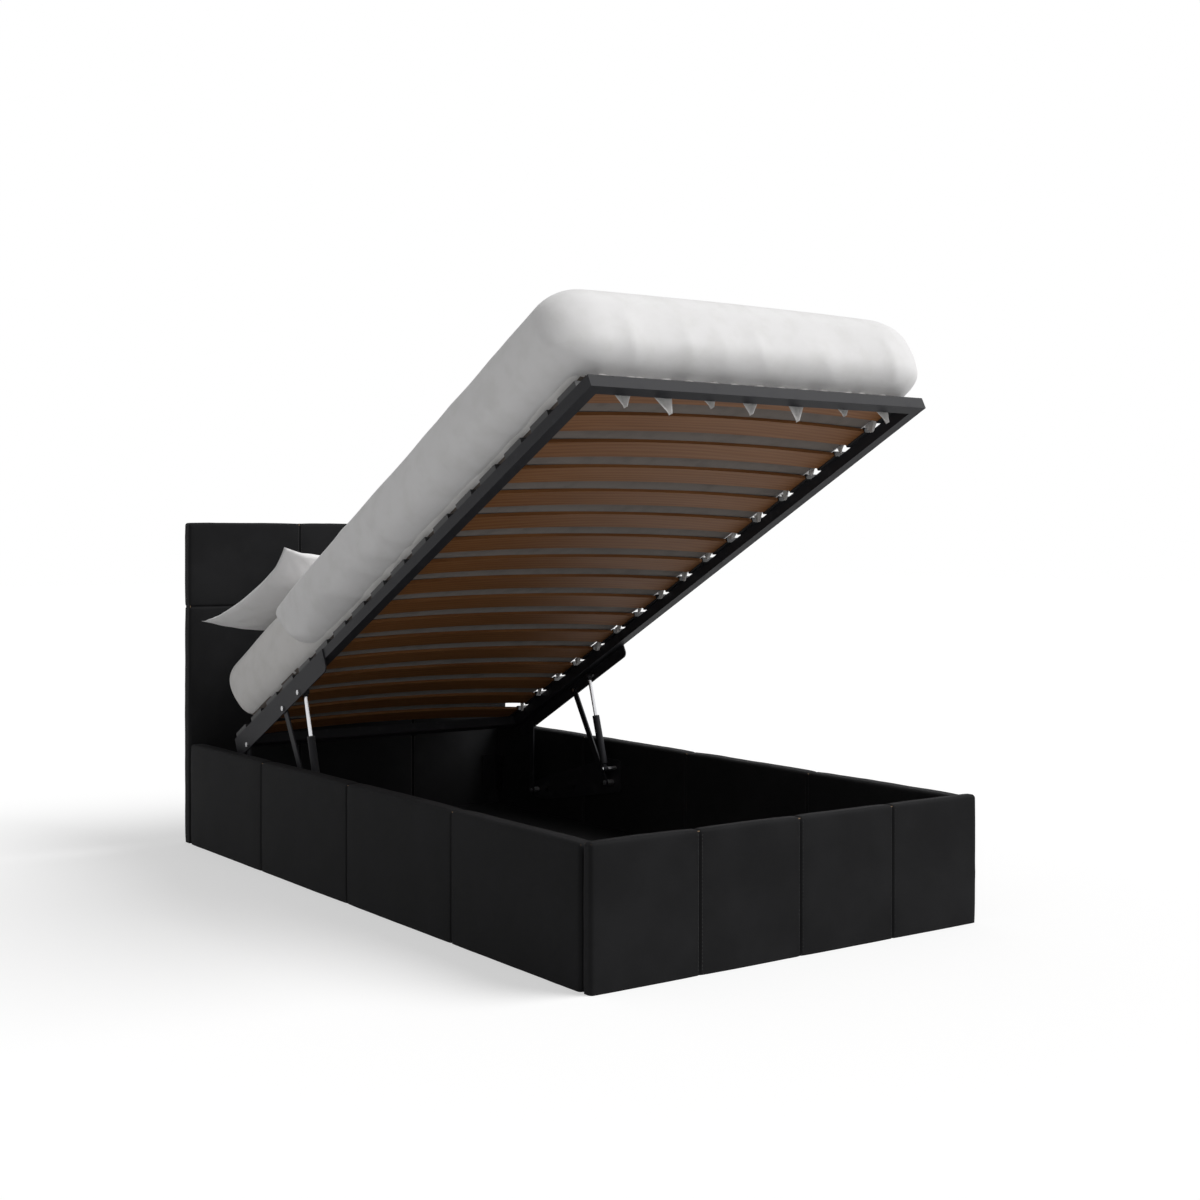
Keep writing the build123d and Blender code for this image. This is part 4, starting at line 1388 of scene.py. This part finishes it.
@dataclass
class Studio:
    """Camera, lamps, floor and background.

    Attributes:
        eye: Camera place in metres.
        yaw: Heading from +Y towards +X, in degrees.
        tilt: How far the camera looks up, in degrees.
        lens: Focal length in millimetres.
        sensor: Width of the sensor in millimetres.
        shift: Upward shift of the picture, as a share of its width.
        key: Strength of the key light.
        key_softness: How wide the key light is, in degrees.
        key_from: Where the key light comes from.
        ambient: Strength of the light from all round.
        floor_shade: How pale the floor is.
        floor_glow: How much white is added to the floor as it is seen.
        floor_reach: How far the floor goes.
        view_reach: How far the camera sees.
    """

    eye: Point = (-2.3223, -3.5423, 0.8433)
    yaw: float = 35.536
    tilt: float = -0.16
    lens: float = 50.24
    sensor: float = 36.0
    shift: float = -0.043
    key: float = 2.5
    key_softness: float = 40.0
    key_from: Point = (0.75, -0.55, 1.0)
    ambient: float = 0.30
    floor_shade: float = 0.58
    floor_glow: float = 0.5
    floor_reach: float = 30.0
    view_reach: float = 100.0

    def build(self) -> None:
        """Makes the whole studio."""
        self.camera()
        self.world()
        self.floor()
        self.lamps()

    def camera(self) -> None:
        """Puts the camera where the photograph was taken from."""
        data = bpy.data.cameras.new("camera")
        data.lens = self.lens
        data.sensor_width = self.sensor
        data.sensor_fit = "HORIZONTAL"
        data.shift_y = self.shift
        data.clip_end = self.view_reach
        camera = bpy.data.objects.new("camera", data)
        camera.location = self.eye
        camera.rotation_euler = (math.radians(90 + self.tilt), 0, -math.radians(self.yaw))
        bpy.context.scene.collection.objects.link(camera)
        bpy.context.scene.camera = camera

    def world(self) -> None:
        """White for the camera and in reflections, a soft grey for light."""
        world = bpy.data.worlds.new("studio")
        bpy.context.scene.world = world
        world.use_nodes = True
        tree = world.node_tree
        soft = {"Color": (1, 1, 1, 1), "Strength": self.ambient}
        white = {"Color": (1, 1, 1, 1), "Strength": 1.0}
        shades = [add_node(tree, "ShaderNodeBackground", {}, shade) for shade in (soft, white)]
        both = add_node(tree, "ShaderNodeMixShader", {}, [self.seen(tree), *shades])
        tree.links.new(both.link, tree.nodes["World Output"].inputs["Surface"])
        tree.nodes.remove(tree.nodes["Background"])

    def seen(self, tree: bpy.types.NodeTree) -> Socket:
        """1 for the camera's rays, seen directly, in a mirror or through glass, and 0 for light."""
        names = ("Is Camera Ray", "Is Glossy Ray", "Is Transmission Ray")
        rays = [add_node(tree, "ShaderNodeLightPath", {}, (), name) for name in names]
        return (rays[0] + rays[1] + rays[2]).clamp()

    def floor(self) -> None:
        """A pale floor that keeps the bed's shadow."""
        reach = self.floor_reach
        corners = [(-reach, -reach, 0), (reach, -reach, 0), (reach, reach, 0), (-reach, reach, 0)]
        mesh = bpy.data.meshes.new("floor")
        mesh.from_pydata(corners, [], [(0, 1, 2, 3)])
        floor = bpy.data.objects.new("floor", mesh)
        bpy.context.scene.collection.objects.link(floor)
        material = bpy.data.materials.new("pale_floor")
        material.use_nodes = True
        tree = material.node_tree
        shader = tree.nodes["Principled BSDF"]
        shader.inputs["Base Color"].default_value = (self.floor_shade,) * 3 + (1,)
        shader.inputs["Emission Strength"].default_value = self.floor_glow
        white = mix_colour(tree, self.seen(tree), (0, 0, 0, 1), (1, 1, 1, 1))
        tree.links.new(white.link, shader.inputs["Emission Color"])
        shader.inputs["Roughness"].default_value = 0.9
        shader.inputs["Specular IOR Level"].default_value = 0.0
        mesh.materials.append(material)
        floor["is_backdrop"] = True

    def lamps(self) -> None:
        """A broad key light from the right of the foot end."""
        data = bpy.data.lights.new("key", "SUN")
        data.energy = self.key
        data.angle = math.radians(self.key_softness)
        lamp = bpy.data.objects.new("key", data)
        lamp.rotation_euler = Vector(self.key_from).to_track_quat("Z", "Y").to_euler()
        bpy.context.scene.collection.objects.link(lamp)


def main() -> None:
    """Builds the bed round the loaded frame."""
    logging.basicConfig(level=logging.INFO, format="%(message)s")
    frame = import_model()
    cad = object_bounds()
    scene = bpy.context.scene
    scene.view_settings.view_transform = "Standard"
    Studio().build()
    Base(frame).build()
    Deck(frame).build()
    Mechanism(frame).build()
    for piece in (Mattress(), Duvet(), Pillow()):
        piece.build()
    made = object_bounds()
    boxes = {"cad": cad, "visual": made}
    {name: [list(corner) for corner in box] for name, box in boxes.items()}


if __name__ == "__main__":
    main()
